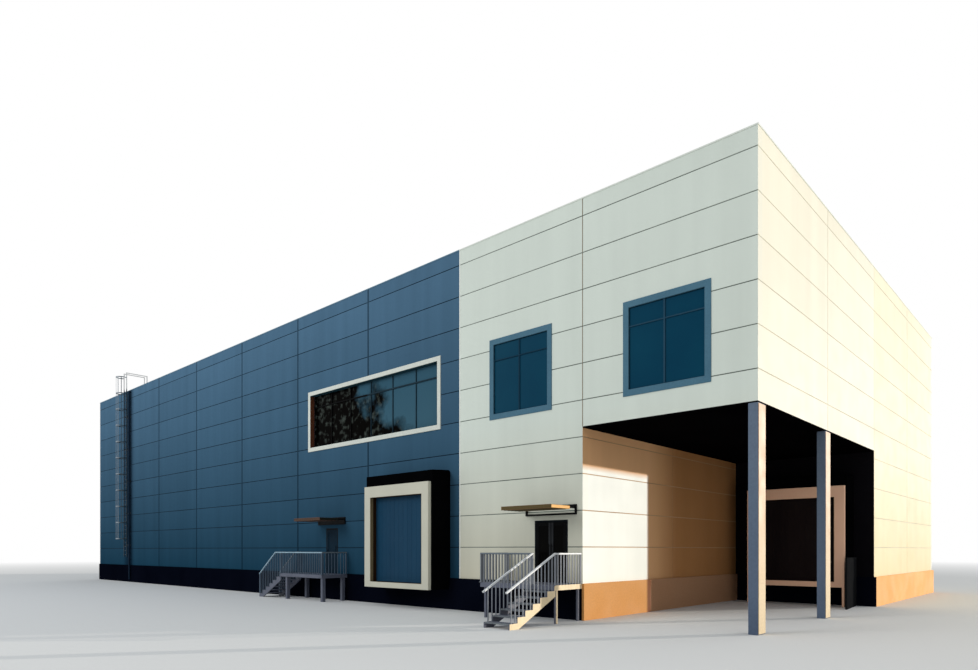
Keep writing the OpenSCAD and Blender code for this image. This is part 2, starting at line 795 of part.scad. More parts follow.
// Railing beside a flight that goes down along +X, level as far as the bend
module flight_rail(bend, far) {
  top = plinth_h + rail_h;
  foot = plinth_h - far * rise / going;
  fall = (plinth_h - foot) / (far - bend);
  translate([-rail_w, 0, plinth_h]) cube([rail_w, rail_w, rail_h]);
  rotate([90, 0, 0]) translate([0, 0, -rail_w]) linear_extrude(height = rail_w)
    polygon([[-rail_w, top], [bend, top], [far, foot + rail_h], [far, foot + rail_h - rail_w],
      [bend, top - rail_w], [-rail_w, top - rail_w]]);
  for (i = [1:risers - 1], f = [0.25, 0.75])
    let (x = tab + (i - 1 + f) * going, z = plinth_h - i * rise)
      translate([x - baluster_w / 2, rail_w / 2 - baluster_w / 2, z])
        cube([baluster_w, baluster_w, top - fall * max(0, x - bend) - rail_w / 2 - z]);
}

module service_rail() {
  flight_rail(service_level, flight - 2);
  translate([flight - 2 - rail_w, 0, rise]) cube([rail_w, rail_w, rail_h - rail_w / 2]);
}

module railings() color(pale) place() {
  at_front_flight() translate([0, rail_inset, 0]) flight_rail(0, flight + rail_over);
  at_front_flight() translate([0, stair_w - rail_w, 0]) flight_rail(0, flight + rail_over);
  translate([landing_r, 0, 0]) rotate([0, 0, 90]) level_rail(-landing_d, -plinth_proud - 10);
  translate([0, -landing_d, 0]) level_rail(landing_l, landing_r - stair_w + rail_inset - 6);
  translate([landing_l + rail_w, 0, 0]) rotate([0, 0, 90])
    level_rail(-landing_d + rail_w + 6, -plinth_proud - 10);
  at_service_flight() service_rail();
  at_service_flight() translate([0, stair_w - rail_w, 0]) service_rail();
  translate([0, -service_landing_d, 0]) level_rail(serv_l, serv_r);
  translate([serv_r, 0, 0]) rotate([0, 0, 90])
    level_rail(-service_landing_d + rail_w + 6, -plinth_proud - 10);
}

module roof_ladder() color(grey) place() translate([-ladder_x, 0, 0]) {
  stile_y = -ladder_off - ladder_stile;
  for (x = [-ladder_w / 2 - ladder_stile / 2, ladder_w / 2 - ladder_stile / 2]) {
    translate([x, stile_y, ladder_z])
      cube([ladder_stile, ladder_stile, wall_h + ladder_rise - ladder_z]);
    translate([x, stile_y, wall_h + ladder_rise - ladder_stile])
      cube([ladder_stile, rail_in - stile_y, ladder_stile]);
    translate([x, rail_in - ladder_stile, roof_z])
      cube([ladder_stile, ladder_stile, wall_h + ladder_rise - roof_z]);
    for (z = [ladder_z + bracket_z:2 * hoop_gap:top_z - 200])
      translate([x, stile_y + 1, z]) cube([ladder_stile, -stile_y - 1, ladder_stile]);
  }
  for (z = [ladder_z + rung_z:rung_gap:wall_h])
    translate([-ladder_w / 2, stile_y + ladder_stile / 2, z]) rotate([0, 90, 0])
      cylinder(r = rung_r, h = ladder_w, $fn = 32);
}

module cage_hoop() linear_extrude(height = hoop_h) difference() {
  circle(r = hoop_r, $fn = 96);
  circle(r = hoop_r - hoop_t, $fn = 96);
  translate([-hoop_r, hoop_off]) square([2 * hoop_r, hoop_r]);
}

module ladder_cage() color(grey) place()
  translate([-ladder_x, -ladder_off - ladder_stile - hoop_off, 0]) {
    for (k = [0:hoops - 1]) translate([0, 0, cage_z + k * hoop_gap]) cage_hoop();
    for (a = [-70, -35, 0, 35, 70]) rotate([0, 0, a])
      translate([-10, 2 - hoop_r, cage_z + 1])
        cube([20, hoop_t / 2, (hoops - 1) * hoop_gap + hoop_h - 2]);
  }

// Downpipe with its outlet at the head and brackets to the wall
module downpipe() color(dark) place() translate([-pipe_x, 0, 0]) {
  high = top_z - pipe_head;
  clip_low = plinth_h + pipe_clip_foot;
  difference() {
    union() {
      translate([0, -pipe_off, pipe_foot]) cylinder(r = pipe_r, h = high - pipe_foot, $fn = 32);
      translate([0, 0, high - pipe_r - 5]) rotate([90, 0, 0]) cylinder(r = pipe_r - 2, h = pipe_off, $fn = 32);
      for (k = [0:pipe_clips - 1])
        translate([0, 0, clip_low + k * (high - pipe_clip_head - clip_low) / (pipe_clips - 1)]) {
          translate([0, -pipe_off, 0]) cylinder(r = pipe_r + 4, h = 24, $fn = 32);
          translate([-8, -pipe_off, 4]) cube([16, pipe_off, 16]);
        }
    }
    translate([0, -pipe_off, pipe_foot - 1])
      cylinder(r = pipe_r - pipe_t, h = high - pipe_foot - pipe_t + 1, $fn = 32);
  }
}

// Guard panel that stands out from the porch's rear wall, a little turned
module guard_panel() color([0.16, 0.17, 0.19]) place() translate([-guard_x, yb - lining_t, 0])
  difference() {
    linear_extrude(height = guard_h)
      polygon([[0, 0], [-guard_t, 0], [guard_swing - guard_t, -guard_l], [guard_swing, -guard_l]]);
    translate([-guard_t - 1, -plinth_proud, -1])
      cube([guard_t + guard_swing + 2, plinth_proud + 1, plinth_h + 1]);
  }

plinth_dark_long();
plinth_dark_cross();
plinth_tan_cross();
plinth_tan_rear();
wall_entrance_low();
wall_entrance_high();
wall_porch_front();
wall_blue_low();
wall_blue_high();
wall_blue_long();
wall_end();
wall_rear_blue();
wall_rear_cream();
wall_side_rear();
wall_side_porch();
recess_wall();
recess_back_wall();
ground_floor();
upper_floor();
porch_soffit();
roof();
coping();
porch_columns();
dock_boxes();
dock_frames();
dock_door_front();
dock_door_porch();
ribbon_frame();
window_frames();
window_bars();
window_glass();
door_frames();
entrance_leaf_left();
entrance_leaf_right();
service_leaf();
canopies();
canopy_frames();
landings();
stair_treads();
stair_supports();
railings();
roof_ladder();
ladder_cage();
downpipe();
guard_panel();
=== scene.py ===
import math
import bmesh
import bpy
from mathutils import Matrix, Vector


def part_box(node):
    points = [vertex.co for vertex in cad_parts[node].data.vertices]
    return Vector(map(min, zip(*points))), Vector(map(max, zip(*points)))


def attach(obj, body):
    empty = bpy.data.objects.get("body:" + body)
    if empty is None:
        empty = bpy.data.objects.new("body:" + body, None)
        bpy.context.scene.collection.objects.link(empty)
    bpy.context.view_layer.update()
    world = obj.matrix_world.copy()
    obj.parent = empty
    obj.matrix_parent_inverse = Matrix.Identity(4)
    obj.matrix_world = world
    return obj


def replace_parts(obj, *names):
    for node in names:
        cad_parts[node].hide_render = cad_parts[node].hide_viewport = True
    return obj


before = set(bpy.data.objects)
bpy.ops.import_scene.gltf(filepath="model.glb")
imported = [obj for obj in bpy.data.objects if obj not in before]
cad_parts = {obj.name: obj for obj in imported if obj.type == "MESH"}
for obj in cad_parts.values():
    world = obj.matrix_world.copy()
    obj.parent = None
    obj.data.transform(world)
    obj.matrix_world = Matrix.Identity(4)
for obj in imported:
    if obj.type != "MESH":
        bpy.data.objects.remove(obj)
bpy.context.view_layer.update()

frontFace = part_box("wall_porch_front")[0][1]    # outer face of the long front
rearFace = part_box("wall_rear_blue")[1][1]
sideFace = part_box("wall_side_rear")[1][0]       # outer face of the sunny side
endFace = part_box("wall_end")[0][0]
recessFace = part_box("recess_wall")[1][0]
bay = 2.95
deepAll = 4 * bay     # from the front face to the rear face
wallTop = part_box("coping")[1][2]
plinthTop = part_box("plinth_dark_long")[1][2]
entranceAt, serviceAt = -3.62, -10.275     # middles of the two entrances, from the front corner
squareOn = 0.9        # a normal with more than this of an axis looks along it
print("stage 1: frame loaded,", len(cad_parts), "nodes")


def clearPick():
    if bpy.context.object and bpy.context.object.mode != "OBJECT":
        bpy.ops.object.mode_set(mode="OBJECT")
    bpy.ops.object.select_all(action="DESELECT")


def pick(piece):
    clearPick()
    piece.select_set(True)
    bpy.context.view_layer.objects.active = piece


def spot(x, y, z):
    return Vector((sideFace + x, frontFace + y, z))     # measured from the front corner


def fromFront(span):
    return [frontFace + place for place in span]


def applied(piece, name):
    piece.name = name
    bpy.ops.object.transform_apply(location=True, rotation=True, scale=True)
    return piece


def box(name, low, high):
    clearPick()
    low, high = Vector(low), Vector(high)
    bpy.ops.mesh.primitive_cube_add(size=1, location=(low + high) / 2, scale=high - low)
    return applied(bpy.context.object, name)


def sheet(name, centre, size, facing):
    turns = {"front": (math.pi / 2, 0, 0), "back": (math.pi / 2, 0, math.pi), "up": (0, 0, 0)}
    clearPick()
    bpy.ops.mesh.primitive_plane_add(size=1, location=centre, rotation=turns[facing])
    bpy.context.object.scale = (size[0], size[1], 1)
    return applied(bpy.context.object, name)


def beam(name, start, end, look):
    along = end - start
    turn = along.to_track_quat("Y", "Z").to_euler()
    clearPick()
    bpy.ops.mesh.primitive_cube_add(size=1, location=(start + end) / 2, rotation=turn)
    bpy.context.object.scale = (look["wide"], along.length, look["high"])
    return soften(applied(bpy.context.object, name), look["edge"])


def editOn(piece):
    pick(piece)
    bpy.ops.object.mode_set(mode="EDIT")
    bpy.ops.mesh.select_all(action="SELECT")


def editOff():
    bpy.ops.object.mode_set(mode="OBJECT")


def pickFaces(piece, wanted):
    bpy.ops.mesh.select_mode(type="FACE")
    bpy.ops.mesh.select_all(action="DESELECT")
    cage = bmesh.from_edit_mesh(piece.data)
    for face in cage.faces:
        if wanted(face.calc_center_median(), face.normal):
            face.select_set(True)
    bmesh.update_edit_mesh(piece.data)


def cutAway(piece, wanted):
    editOn(piece)
    pickFaces(piece, wanted)
    bpy.ops.mesh.delete(type="FACE")
    editOff()
    return piece


def sinkFaces(piece, wanted, width, depth, apart):
    editOn(piece)
    pickFaces(piece, wanted)
    bpy.ops.mesh.inset(thickness=width, depth=depth, use_individual=apart)
    editOff()
    return piece


def shaped(piece, kind, **values):
    pick(piece)
    step = piece.modifiers.new("step", kind)
    for key, value in values.items():
        setattr(step, key, value)
    bpy.ops.object.modifier_apply(modifier=step.name)
    return piece


def soften(piece, width, steps=2):
    return shaped(piece, "BEVEL", width=width, segments=steps, limit_method="ANGLE")


def thicken(piece, depth, offset=1):
    return shaped(piece, "SOLIDIFY", thickness=depth, offset=offset, use_even_offset=True)


def repeat(piece, count, step):
    return shaped(piece, "ARRAY", use_relative_offset=False, use_constant_offset=True,
                  constant_offset_displace=step, count=count)


def rimmed(name, low, high, wanted, look):
    piece = sinkFaces(box(name, low, high), wanted, look["rim"], look["rise"], apart=True)
    return soften(piece, look["edge"], 1)


def ring(name, centre, size, facing, width, depth):
    band = sinkFaces(sheet(name, centre, size, facing), lambda at, normal: True, width, 0, apart=False)
    cutAway(band, lambda at, normal: (at - centre).length < width)
    return thicken(band, depth)


def twin(piece, shift):
    other = piece.copy()
    other.data = piece.data.copy()
    bpy.context.scene.collection.objects.link(other)
    pick(other)
    bpy.ops.transform.translate(value=shift)
    return applied(other, piece.name)


def together(pieces, name):
    clearPick()
    for piece in pieces:
        piece.select_set(True)
    bpy.context.view_layer.objects.active = pieces[0]
    if len(pieces) > 1:
        bpy.ops.object.join()
    pieces[0].name = name
    pieces[0].data.name = name
    return pieces[0]


cleanUp = {"merge": 0.00002, "flatWithin": 1}


def cadCopy(node, name):
    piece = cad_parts[node].copy()
    piece.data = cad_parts[node].data.copy()
    for key in list(piece.keys()):
        del piece[key]
    piece.parent = None
    bpy.context.scene.collection.objects.link(piece)
    piece.hide_viewport = False
    piece.hide_render = False
    piece.hide_set(False)
    piece.name = name
    piece.data.name = name
    piece.data.materials.clear()
    editOn(piece)
    bpy.ops.mesh.remove_doubles(threshold=cleanUp["merge"])
    bpy.ops.mesh.dissolve_limited(angle_limit=math.radians(cleanUp["flatWithin"]))
    editOff()
    return piece


def settle(pieces, name, finish, body="building"):
    piece = together(pieces, name)
    editOn(piece)
    bpy.ops.mesh.normals_make_consistent(inside=False)
    editOff()
    applied(piece, name)
    piece.data.materials.clear()
    piece.data.materials.append(finishes[finish])
    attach(piece, body)
    return piece


# what a finish has where its own values don't say otherwise
usualLook = {"metal": 0.0, "gloss": 0.4, "tint": (1, 1, 1), "rough": (0.4, 0.6), "patch": 0.8,
             "stretch": (1, 1, 1), "speck": 35, "speckLow": 0.94, "grain": 60, "grainStretch": (1, 1, 1),
             "bump": 0.1, "depth": 0.003, "wear": 3, "spread": 0.03, "streak": 0.93}


def newKit(owner):
    owner.use_nodes = True
    owner.node_tree.nodes.clear()
    return {"tree": owner.node_tree}


def newNode(kit, kind):
    return kit["tree"].nodes.new("ShaderNode" + kind)


def feed(kit, socket, value):
    if isinstance(value, tuple):
        socket.default_value = value + (1,)     # a colour
    elif isinstance(value, (int, float)):
        socket.default_value = value
    else:
        kit["tree"].links.new(value, socket)


def startFinish(name, look):
    paint = bpy.data.materials.new(name)
    kit, look = newKit(paint), dict(usualLook, **look)
    out, shader = newNode(kit, "OutputMaterial"), newNode(kit, "BsdfPrincipled")
    feed(kit, out.inputs["Surface"], shader.outputs["BSDF"])
    for socket, key in (("Metallic", "metal"), ("Specular IOR Level", "gloss"), ("Specular Tint", "tint")):
        feed(kit, shader.inputs[socket], look[key])
    where, parts = newNode(kit, "TexCoord").outputs["Object"], newNode(kit, "SeparateXYZ")
    feed(kit, parts.inputs["Vector"], where)
    kit.update({"paint": paint, "shader": shader, "look": look, "where": where})
    kit.update({axis: parts.outputs[axis] for axis in "XYZ"})
    return kit, look


def noiseAt(kit, scale, stretch=(1, 1, 1), detail=4.0):
    place = newNode(kit, "Mapping")
    place.inputs["Scale"].default_value = stretch
    feed(kit, place.inputs["Vector"], kit["where"])
    noise = newNode(kit, "TexNoise")
    noise.inputs["Scale"].default_value = scale
    noise.inputs["Detail"].default_value = detail
    feed(kit, noise.inputs["Vector"], place.outputs["Vector"])
    return noise.outputs["Fac"]


def mathOf(kit, kind, a, b=0):
    step = newNode(kit, "Math")
    step.operation = kind
    feed(kit, step.inputs[0], a)
    feed(kit, step.inputs[1], b)
    return step.outputs[0]


def rangeOf(kit, value, span=(0.3, 0.7), to=(0, 1)):
    step = newNode(kit, "MapRange")
    ends = {"From Min": span[0], "From Max": span[1], "To Min": to[0], "To Max": to[1], "Value": value}
    for socket, end in ends.items():
        feed(kit, step.inputs[socket], end)
    return step.outputs["Result"]


def blendOf(kit, factor, a, b, kind="MIX"):
    step = newNode(kit, "Mix")
    step.data_type = "RGBA"
    step.blend_type = kind
    for socket, value in (("Factor", factor), ("A", a), ("B", b)):
        feed(kit, step.inputs[socket], value)
    return step.outputs["Result"]


def awayFrom(kit, axis, plane):
    return mathOf(kit, "ABSOLUTE", mathOf(kit, "SUBTRACT", kit[axis], plane))


def greyed(kit, tone, grey):
    mixed = newNode(kit, "CombineColor")
    for part in ("Red", "Green", "Blue"):
        feed(kit, mixed.inputs[part], grey)
    return blendOf(kit, 1.0, tone, mixed.outputs["Color"], "MULTIPLY")


def coat(kit, tone):
    look, shader = kit["look"], kit["shader"]
    feed(kit, shader.inputs["Base Color"], tone)
    bump = newNode(kit, "Bump")
    bump.inputs["Strength"].default_value = look["bump"]
    bump.inputs["Distance"].default_value = look["depth"]
    feed(kit, bump.inputs["Height"], noiseAt(kit, look["grain"], look["grainStretch"], detail=3.0))
    feed(kit, shader.inputs["Normal"], bump.outputs["Normal"])
    worn = noiseAt(kit, look["patch"] * look["wear"])
    feed(kit, shader.inputs["Roughness"], rangeOf(kit, worn, to=look["rough"]))
    return kit["paint"]


# surfaces that several finishes share
skins = {
    "lining": {"rough": (0.85, 0.95), "grain": 40, "bump": 0.05, "gloss": 0.0},
    "plaster": {"rough": (0.85, 0.95), "grain": 70, "bump": 0.25, "depth": 0.004, "gloss": 0.0},
    "slab": {"rough": (0.7, 0.85), "bump": 0.2, "gloss": 0.2},
    "sheetPaint": {"patch": 1.5, "rough": (0.4, 0.55), "bump": 0.05},
    "columnPaint": {"patch": 1.5, "rough": (0.4, 0.55), "paintedLightAxis": "Z", "fadeSpan": (0.3, 2.2)},
    "dockDoor": {"stretch": (3, 3, 0.2)},
    "dockLiner": {"patch": 2, "stretch": (1, 1, 0.3), "grain": 80},
    "darkMetal": {"patch": 2, "rough": (0.5, 0.65), "grain": 90, "bump": 0.05, "gloss": 0.05},
    "windowPaint": {"patch": 2, "grain": 70, "bump": 0.04},
    "glass": {"speckLow": 0.99, "depth": 0.01},
    "finePaint": {"patch": 3, "grain": 120, "bump": 0.05},
    "handRail": {"patch": 4, "rough": (0.35, 0.5), "grain": 120, "bump": 0.05, "gloss": 0.2},
    "board": {"patch": 6, "rough": (0.45, 0.6), "grain": 90, "bump": 0.2},
    "stair": {"patch": 3, "grain": 80, "gloss": 0.25},
    "ladder": {"patch": 9, "grain": 150, "bump": 0.08},
    "seal": {"patch": 0.9, "rough": (0.7, 0.85), "grain": 90, "gloss": 0.05},
}


def plainFinish(name, look):
    kit, look = startFinish(name, look)
    cloud = noiseAt(kit, look["patch"], look["stretch"], detail=6.0)
    tone = blendOf(kit, rangeOf(kit, cloud), look["tone"], look["shade"])
    if "paintedLightTone" in look:
        # painted light and shade: the tone changes evenly along one axis, after how light falls on the piece
        tone = blendOf(kit, rangeOf(kit, kit[look["paintedLightAxis"]], look["fadeSpan"]), tone, look["paintedLightTone"])
    if "porchShadeTone" in look:
        # painted shade: the base under the recess wall is darker in the porch and turns dark brown past the
        # sunlit patch, as the wall's painted shade does
        beside, back = look["porchShadeReach"]
        inside = mathOf(kit, "MULTIPLY", mathOf(kit, "LESS_THAN", kit["X"], recessFace + beside),
                        mathOf(kit, "LESS_THAN", kit["Y"], frontFace + back))
        tone = blendOf(kit, inside, tone, look["porchShadeTone"])
        for colour, span in look["porchShadeSteps"]:
            deep = rangeOf(kit, kit["Y"], fromFront(span))
            tone = blendOf(kit, mathOf(kit, "MULTIPLY", deep, inside), tone, colour)
    speck = noiseAt(kit, look["speck"], look["stretch"], detail=2.0)
    return coat(kit, greyed(kit, tone, rangeOf(kit, speck, to=(look["speckLow"], 2 - look["speckLow"]))))


def splitFinish(name, look):
    kit, look = startFinish(name, look)
    side = mathOf(kit, "GREATER_THAN", kit["X"], sideFace - look["edge"])
    cloud = rangeOf(kit, noiseAt(kit, look["patch"], look["stretch"], detail=5.0))
    left, right = blendOf(kit, cloud, *look["left"]), blendOf(kit, cloud, *look["right"])
    return coat(kit, blendOf(kit, side, left, right))


creamLook = {"low": (0.59, 0.555, 0.435), "high": (0.655, 0.705, 0.635), "riseSpan": (0.5, 3.4),
             "spread": 0.02, "streak": 0.965, "rough": (0.5, 0.62), "grain": 45, "bump": 0.04, "gloss": 0.12,
             "endTone": (0.76, 0.74, 0.63)}
creamPorchLook = dict(creamLook, low=(0.775, 0.735, 0.6), high=(0.79, 0.755, 0.625))
creamSideLook = dict(creamLook, low=(0.745, 0.635, 0.375), high=(0.77, 0.72, 0.54))
# the recess wall is near white in its sunlit patch; its two browns are painted shade above and beyond that
# patch
recessLook = dict(creamLook, low=(0.945, 0.965, 0.89), high=(0.94, 0.97, 0.935), paintedShadeNear=(0.8, 0.45, 0.22),
                  paintedShadeFar=(0.42, 0.195, 0.07), topSpan=(2.45, 2.55), backSpan=(1.97, 2.06),
                  farSpan=(2.06, 3.1))
blueLook = {"low": (0.0115, 0.048, 0.084), "high": (0.08, 0.16, 0.246), "riseSpan": (0.5, 7.0),
            "spread": 0.05, "streak": 0.9, "rough": (0.5, 0.62), "grain": 45, "bump": 0.04, "gloss": 0.0}
# painted shade: a darker band on the front wall behind the ladder and the downpipe
blueFrontLook = dict(blueLook, ladderShadeTone=(0.006, 0.016, 0.034), ladderShadeDepth=0.7, ladderShadeAt=23.46,
                     ladderShadeSpan=(0.24, 0.52))
coverLook = dict(blueLook, low=(0.005, 0.019, 0.035), high=(0.034, 0.068, 0.106), spread=0.03, streak=0.93)
panelLook = {"high": 0.6, "endSkin": 0.0004, "streakSize": 2.6, "streakStretch": (1, 1, 0.06),
             "streakPale": 1.03, "cloudSize": 0.35, "cloud": (0.97, 1.03)}


def panelFinish(name, look, along):
    kit, look = startFinish(name, look)
    # painted light and shade: each wall runs from a darker bottom to a lighter top, standing in for the sky's
    # reflection and shade along its height
    tone = blendOf(kit, rangeOf(kit, kit["Z"], look["riseSpan"]), look["low"], look["high"])
    if along == "X" and "endTone" in look:
        # the bare ends of a front wall follow the wall that they meet; the end at the recess takes the recess
        # wall's painted shade towards its top
        top = rangeOf(kit, kit["Z"], recessLook["topSpan"])
        inner = blendOf(kit, top, recessLook["low"], recessLook["paintedShadeNear"])
        for plane, colour in ((sideFace, look["endTone"]), (recessFace, inner)):
            atEnd = mathOf(kit, "LESS_THAN", awayFrom(kit, "X", plane), panelLook["endSkin"])
            tone = blendOf(kit, atEnd, tone, colour)
    if "paintedShadeFar" in look:
        # painted shade: the porch wall turns brown above and beyond its sunlit patch, towards its top and its
        # inner end
        deep = mathOf(kit, "MAXIMUM", rangeOf(kit, kit["Z"], look["topSpan"]),
                      rangeOf(kit, kit["Y"], fromFront(look["backSpan"])))
        far = rangeOf(kit, kit["Y"], fromFront(look["farSpan"]))
        tone = blendOf(kit, deep, tone, blendOf(kit, far, look["paintedShadeNear"], look["paintedShadeFar"]))
    if "ladderShadeTone" in look:
        # painted shade on the front wall behind the ladder and the downpipe, where they shade it
        away = awayFrom(kit, "X", sideFace - look["ladderShadeAt"])
        near = rangeOf(kit, away, look["ladderShadeSpan"], (look["ladderShadeDepth"], 0))
        near = mathOf(kit, "MULTIPLY", near, mathOf(kit, "LESS_THAN", kit["Y"], frontFace + bay))
        tone = blendOf(kit, near, tone, look["ladderShadeTone"])
    # each panel of a bay is a shade of its own
    start = sideFace if along == "X" else frontFace
    column = mathOf(kit, "DIVIDE", mathOf(kit, "SUBTRACT", kit[along], start), bay)
    row = mathOf(kit, "DIVIDE", kit["Z"], panelLook["high"])
    cell = newNode(kit, "CombineXYZ")
    feed(kit, cell.inputs["X"], mathOf(kit, "FLOOR", column))
    feed(kit, cell.inputs["Y"], mathOf(kit, "FLOOR", row))
    lot = newNode(kit, "TexWhiteNoise")
    feed(kit, lot.inputs["Vector"], cell.outputs["Vector"])
    grey = rangeOf(kit, lot.outputs["Value"], (0, 1), (1 - look["spread"], 1 + look["spread"]))
    streak = noiseAt(kit, panelLook["streakSize"], panelLook["streakStretch"], detail=5.0)
    grey = mathOf(kit, "MULTIPLY", grey, rangeOf(kit, streak, to=(panelLook["streakPale"], look["streak"])))
    cloud = noiseAt(kit, panelLook["cloudSize"], detail=3.0)
    grey = mathOf(kit, "MULTIPLY", grey, rangeOf(kit, cloud, to=panelLook["cloud"]))
    return coat(kit, greyed(kit, tone, grey))


wideGlassLook = {"dark": (0.0015, 0.0013, 0.001), "fleck": (0.05, 0.06, 0.052), "fleckSize": 8,
                 "fleckSpan": (0.52, 0.72), "clearLow": (0.046, 0.113, 0.157),
                 "clearHigh": (0.036, 0.097, 0.142), "lean": 1.0, "middle": 4.25, "half": 0.6,
                 "clearFrom": -9.0, "fade": 0.9, "breakSize": 1.6, "breakReach": 0.9,
                 "rough": (0.06, 0.1), "grain": 1.2, "bump": 0.02, "depth": 0.01, "gloss": 0.005}


def wideGlassFinish(name, look):
    kit, look = startFinish(name, look)
    # painted reflection: dark and mottled at the left end like reflected trees, clearer towards the right and
    # the top
    broken = noiseAt(kit, look["breakSize"], detail=7.0)
    edge = mathOf(kit, "ADD", kit["X"], rangeOf(kit, broken, to=(-look["breakReach"], look["breakReach"])))
    edge = mathOf(kit, "ADD", edge, mathOf(kit, "MULTIPLY", kit["Z"], look["lean"]))
    start = sideFace + look["clearFrom"] + look["lean"] * look["middle"]
    clear = rangeOf(kit, edge, (start, start + look["fade"]))
    fleck = rangeOf(kit, noiseAt(kit, look["fleckSize"], detail=8.0), look["fleckSpan"])
    rise = rangeOf(kit, kit["Z"], (look["middle"] - look["half"], look["middle"] + look["half"]))
    return coat(kit, blendOf(kit, clear, blendOf(kit, fleck, look["dark"], look["fleck"]),
                             blendOf(kit, rise, look["clearLow"], look["clearHigh"])))


amid = 2.5 * bay      # a split between the front entrance and the service entrance
panelLooks = {
    "cream_panel_long": (creamLook, "X"),
    "cream_panel_porch": (creamPorchLook, "Y"),
    "cream_panel_side": (creamSideLook, "Y"),
    "cream_panel_recess": (recessLook, "Y"),
    "blue_panel_long": (blueFrontLook, "X"),
    "blue_panel_cross": (blueLook, "Y"),
    "joint_cover_blue": (coverLook, "X"),
}
